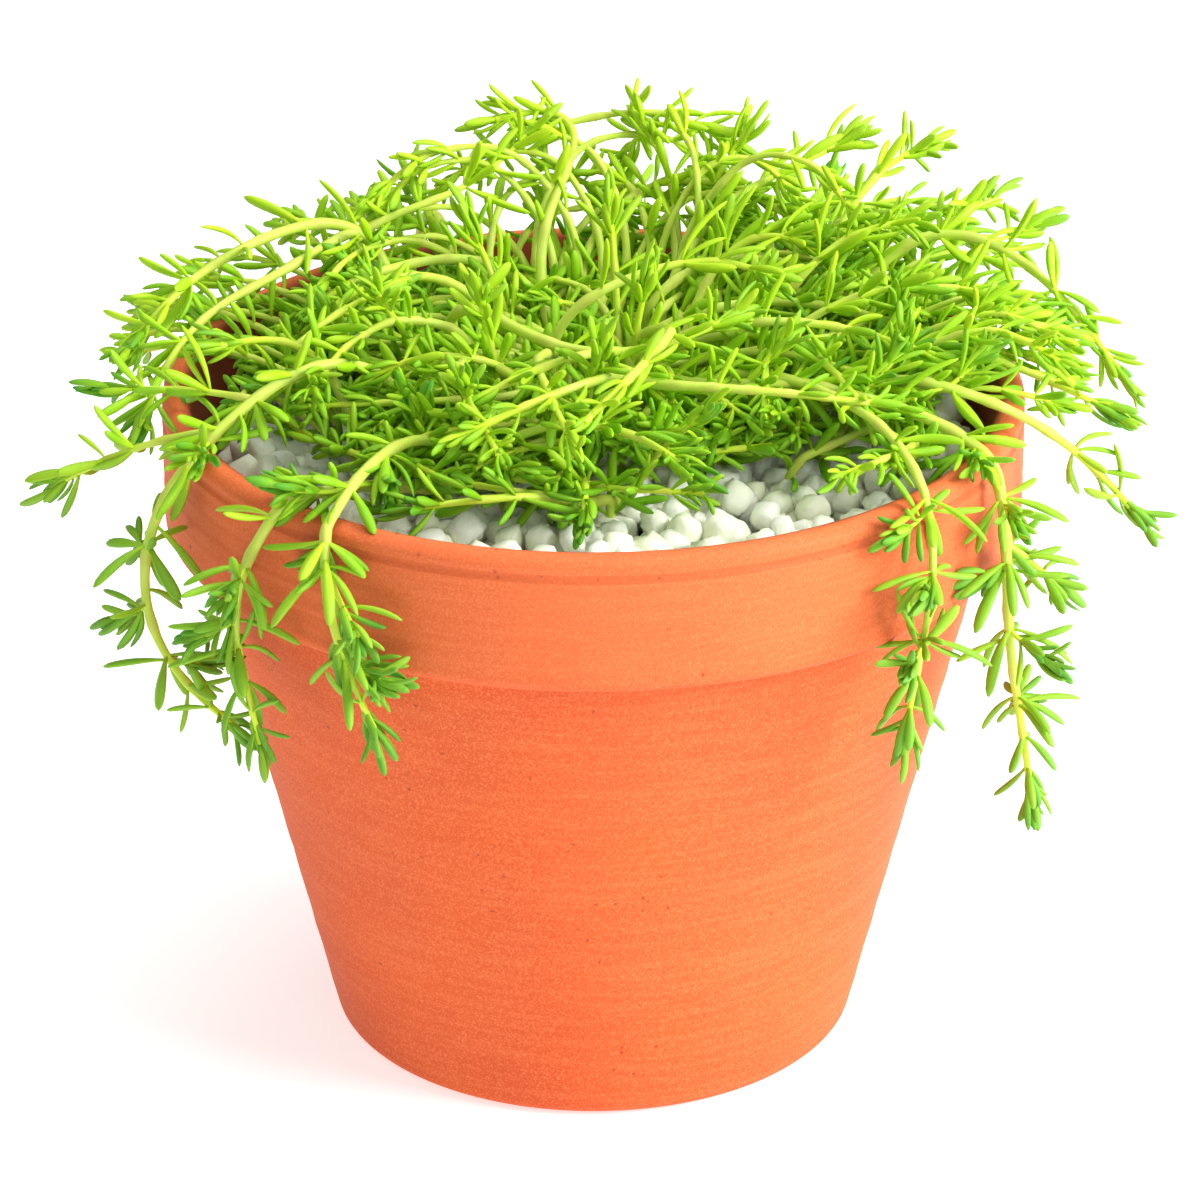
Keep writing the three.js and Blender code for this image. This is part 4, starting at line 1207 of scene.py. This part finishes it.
class SEDUM_OT_make_undergrowth(bpy.types.Operator):
    """Fill the crown with low shoots and thin runners, gathered by the side they grow on"""

    bl_idname = "sedum.make_undergrowth"
    bl_label = "Low shoots"

    def execute(self, context):
        shoots = context.scene.sedum_shoots
        shape = PotShape(context.scene.sedum_pot, context.scene.sedum_filling)
        tree = shoot_tree("Low shoots", *plant_finishes(shoots))
        values = {**shoot_values(context, shape), **LOW_LEAVES}
        rng = random.Random(29)
        lines = {sector: [] for sector in SECTORS}
        stones = -context.scene.sedum_filling.gravel_below_rim / MM

        def add(route, vigour, bareness):
            line = shape.clear(smooth_line([place(*p) for p in route]), shoots.stem_radius)
            lines[SECTORS[int(((route[-1][0] + 60) % 360) // 60)]].append((line, vigour, bareness))

        for i in range(shoots.undergrowth):
            share = (i + 0.5) / shoots.undergrowth
            bearing = (i * GOLDEN_ANGLE + rng.uniform(-8, 8)) % 360
            reach = (0.04 + 0.96 * math.sqrt(share)) * crown_edge(bearing)
            # Lower towards the left and the back, where the stones and the wall show through.
            side = rightness(bearing - 20)
            height = (9 - 3.5 * share) * rng.uniform(0.15, 1.4) * (0.35 + 0.65 * side)
            lean = rng.uniform(-0.06, 0.22)
            swing = rng.uniform(-55, 55)
            add([(bearing, reach * 0.86, stones - 1), (bearing, reach * 0.90, stones + 5),
                 (bearing + swing * 0.5, reach + lean * 0.5, height * 0.55),
                 (bearing + swing, reach + lean, height)], 0.7, 0.15)
        # Runners arch low over the crown.
        for i in range(shoots.runners):
            bearing = (i * GOLDEN_ANGLE + 60) % 360
            reach = crown_edge(bearing) * rng.uniform(0.15, 0.55)
            swing = rng.uniform(-75, 75)
            far = crown_edge(bearing + swing) * rng.uniform(0.75, 1.05)
            side = rightness(bearing + swing * 0.5)
            # One in five stands over the others, thicker and barer.
            high = i % 5 == 0
            height = rng.uniform(3, 11) * (0.45 + 0.55 * side) + (8 if high else 0)
            add([(bearing, reach, stones), (bearing + swing * 0.15, reach, height * 0.55),
                 (bearing + swing * 0.4, (2 * reach + far) / 3, height),
                 (bearing + swing * 0.75, (reach + 2 * far) / 3, height * 1.02),
                 (bearing + swing, far, height * 0.75)], rng.uniform(0.6, 0.8) + 0.15 * high,
                0.85 if high else 0.62)
        # Bare thin stems that cross high over the back.
        for i in range(shoots.back_stems):
            bearing = 142 + 76 * (i + 0.5) / shoots.back_stems
            swing = rng.uniform(22, 50) * (1 if i % 2 else -1)
            height = rng.uniform(13, 30)
            add([(bearing, 0.36, stones), (bearing, 0.46, height * 0.5),
                 (bearing + swing * 0.3, 0.56, height), (bearing + swing * 0.7, 0.62, height * 1.05),
                 (bearing + swing, 0.66, height * 0.8)], 0.66, 0.85)
        for first, last, count, top in LEANING:
            for i in range(count):
                bearing = first + (last - first) * (i + rng.uniform(0.2, 0.8)) / count
                swing = rng.uniform(-12, 12)
                lift = rng.uniform(1, top)
                add([(bearing, 0.58, stones), (bearing, 0.72, 3 + 0.5 * lift),
                     (bearing + swing * 0.5, 0.93, 5 + lift), (bearing + swing, 1.1, 1 + lift)], 0.62, 0.3)
        for number, (sector, its_lines) in enumerate(lines.items()):
            make_leafy_piece(tree, "low_shoots_" + sector, its_lines, {**values, "Seed": 100 + number})
        return {"FINISHED"}


# ---------------------------------------------------------------- stage


# Each light is (name, place, size in metres, power in watts), and is aimed at the middle of the object.
LIGHTS = (
    ("key", (1.0, -0.45, 0.75), 0.6, 17.0),
    ("side", (1.1, -0.1, 0.3), 0.8, 8.5),
    ("front", (0.1, -1.2, 0.7), 0.9, 2.5),
    ("top", (0.1, 0.2, 1.3), 0.8, 9.0),
)
LIT_PLACE = Vector((0, 0, 0.08))
WORLD_BRIGHTNESS = 0.40
FLOOR_TONE = 0.72
FLOOR_GLOW = 0.58


def area_light(name, place_at, size, power):
    """A soft square light at a place."""
    light = bpy.data.lights.new(name, "AREA")
    light.size = size
    light.energy = power
    lamp = bpy.data.objects.new(name, light)
    lamp.location = place_at
    lamp.rotation_euler = (LIT_PLACE - Vector(place_at)).to_track_quat("-Z", "Y").to_euler()
    bpy.context.scene.collection.objects.link(lamp)


class SEDUM_OT_make_stage(bpy.types.Operator):
    """Set up the floor, the lights and the camera"""

    bl_idname = "sedum.make_stage"
    bl_label = "Stage"

    def execute(self, context):
        stage = context.scene.sedum_stage
        scene = context.scene
        floor_mesh = bpy.data.meshes.new("floor")
        half = 3.0
        corners = [(-half, -half, 0), (half, -half, 0), (half, half, 0), (-half, half, 0)]
        floor_mesh.from_pydata(corners, [], [(0, 1, 2, 3)])
        floor = bpy.data.objects.new("floor", floor_mesh)
        floor.location.z = -0.2 * MM
        scene.collection.objects.link(floor)
        paper = Finish("floor_paper", 0.9)
        paper.shader.inputs["Base Color"].default_value = (FLOOR_TONE, FLOOR_TONE, FLOOR_TONE, 1)
        paper.shader.inputs["Emission Color"].default_value = (1, 1, 1, 1)
        paper.shader.inputs["Emission Strength"].default_value = FLOOR_GLOW
        floor_mesh.materials.append(paper.material)

        world = bpy.data.worlds.new("studio")
        world.use_nodes = True
        background = world.node_tree.nodes["Background"]
        background.inputs["Color"].default_value = (1, 1, 1, 1)
        background.inputs["Strength"].default_value = WORLD_BRIGHTNESS
        scene.world = world
        scene.view_settings.view_transform = "Standard"
        for light in LIGHTS:
            area_light(*light)

        camera = bpy.data.cameras.new("camera")
        camera.sensor_width = 36
        camera.lens = stage.focal_length
        camera.shift_x = stage.shift
        camera.clip_end = 20
        eye = bpy.data.objects.new("camera", camera)
        distance = stage.camera_distance * RIM_RADIUS
        eye.location = (0, -distance * math.cos(stage.camera_height),
                        POT_HEIGHT + distance * math.sin(stage.camera_height))
        eye.rotation_euler = (math.pi / 2 - stage.camera_pitch, 0, 0)
        scene.collection.objects.link(eye)
        scene.camera = eye
        return {"FINISHED"}


# ---------------------------------------------------------------- panel and registration


class SEDUM_PT_panel(bpy.types.Panel):
    """Lists the settings and the pieces"""

    bl_idname = "SEDUM_PT_panel"
    bl_label = "Potted sedum"
    bl_space_type = "VIEW_3D"
    bl_region_type = "UI"
    bl_category = "Sedum"

    def draw(self, context):
        for title, settings, operators in GROUPS:
            box = self.layout.box()
            box.label(text=title)
            group = getattr(context.scene, settings)
            for name in group.__annotations__:
                box.prop(group, name)
            for operator in operators:
                box.operator(operator)


GROUPS = (
    ("Pot", "sedum_pot", ("sedum.make_pot",)),
    ("Filling", "sedum_filling", ("sedum.make_soil", "sedum.make_stones")),
    ("Shoots", "sedum_shoots", ("sedum.make_shoots", "sedum.make_undergrowth")),
    ("Stage", "sedum_stage", ("sedum.make_stage",)),
)
SETTINGS = {
    "sedum_pot": SedumPotSettings,
    "sedum_filling": SedumFillingSettings,
    "sedum_shoots": SedumShootSettings,
    "sedum_stage": SedumStageSettings,
}
CLASSES = (
    *SETTINGS.values(), SEDUM_OT_make_pot, SEDUM_OT_make_soil, SEDUM_OT_make_stones, SEDUM_OT_make_shoots,
    SEDUM_OT_make_undergrowth, SEDUM_OT_make_stage, SEDUM_PT_panel,
)


def register():
    for cls in CLASSES:
        bpy.utils.register_class(cls)
    for name, cls in SETTINGS.items():
        setattr(bpy.types.Scene, name, bpy.props.PointerProperty(type=cls))


def unregister():
    for name in SETTINGS:
        delattr(bpy.types.Scene, name)
    for cls in reversed(CLASSES):
        bpy.utils.unregister_class(cls)


def main():
    register()
    bpy.ops.sedum.make_stage()
    bpy.ops.sedum.make_pot()
    bpy.ops.sedum.make_soil()
    bpy.ops.sedum.make_stones()
    bpy.ops.sedum.make_shoots()
    bpy.ops.sedum.make_undergrowth()
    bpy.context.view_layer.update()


if __name__ == "__main__":
    main()
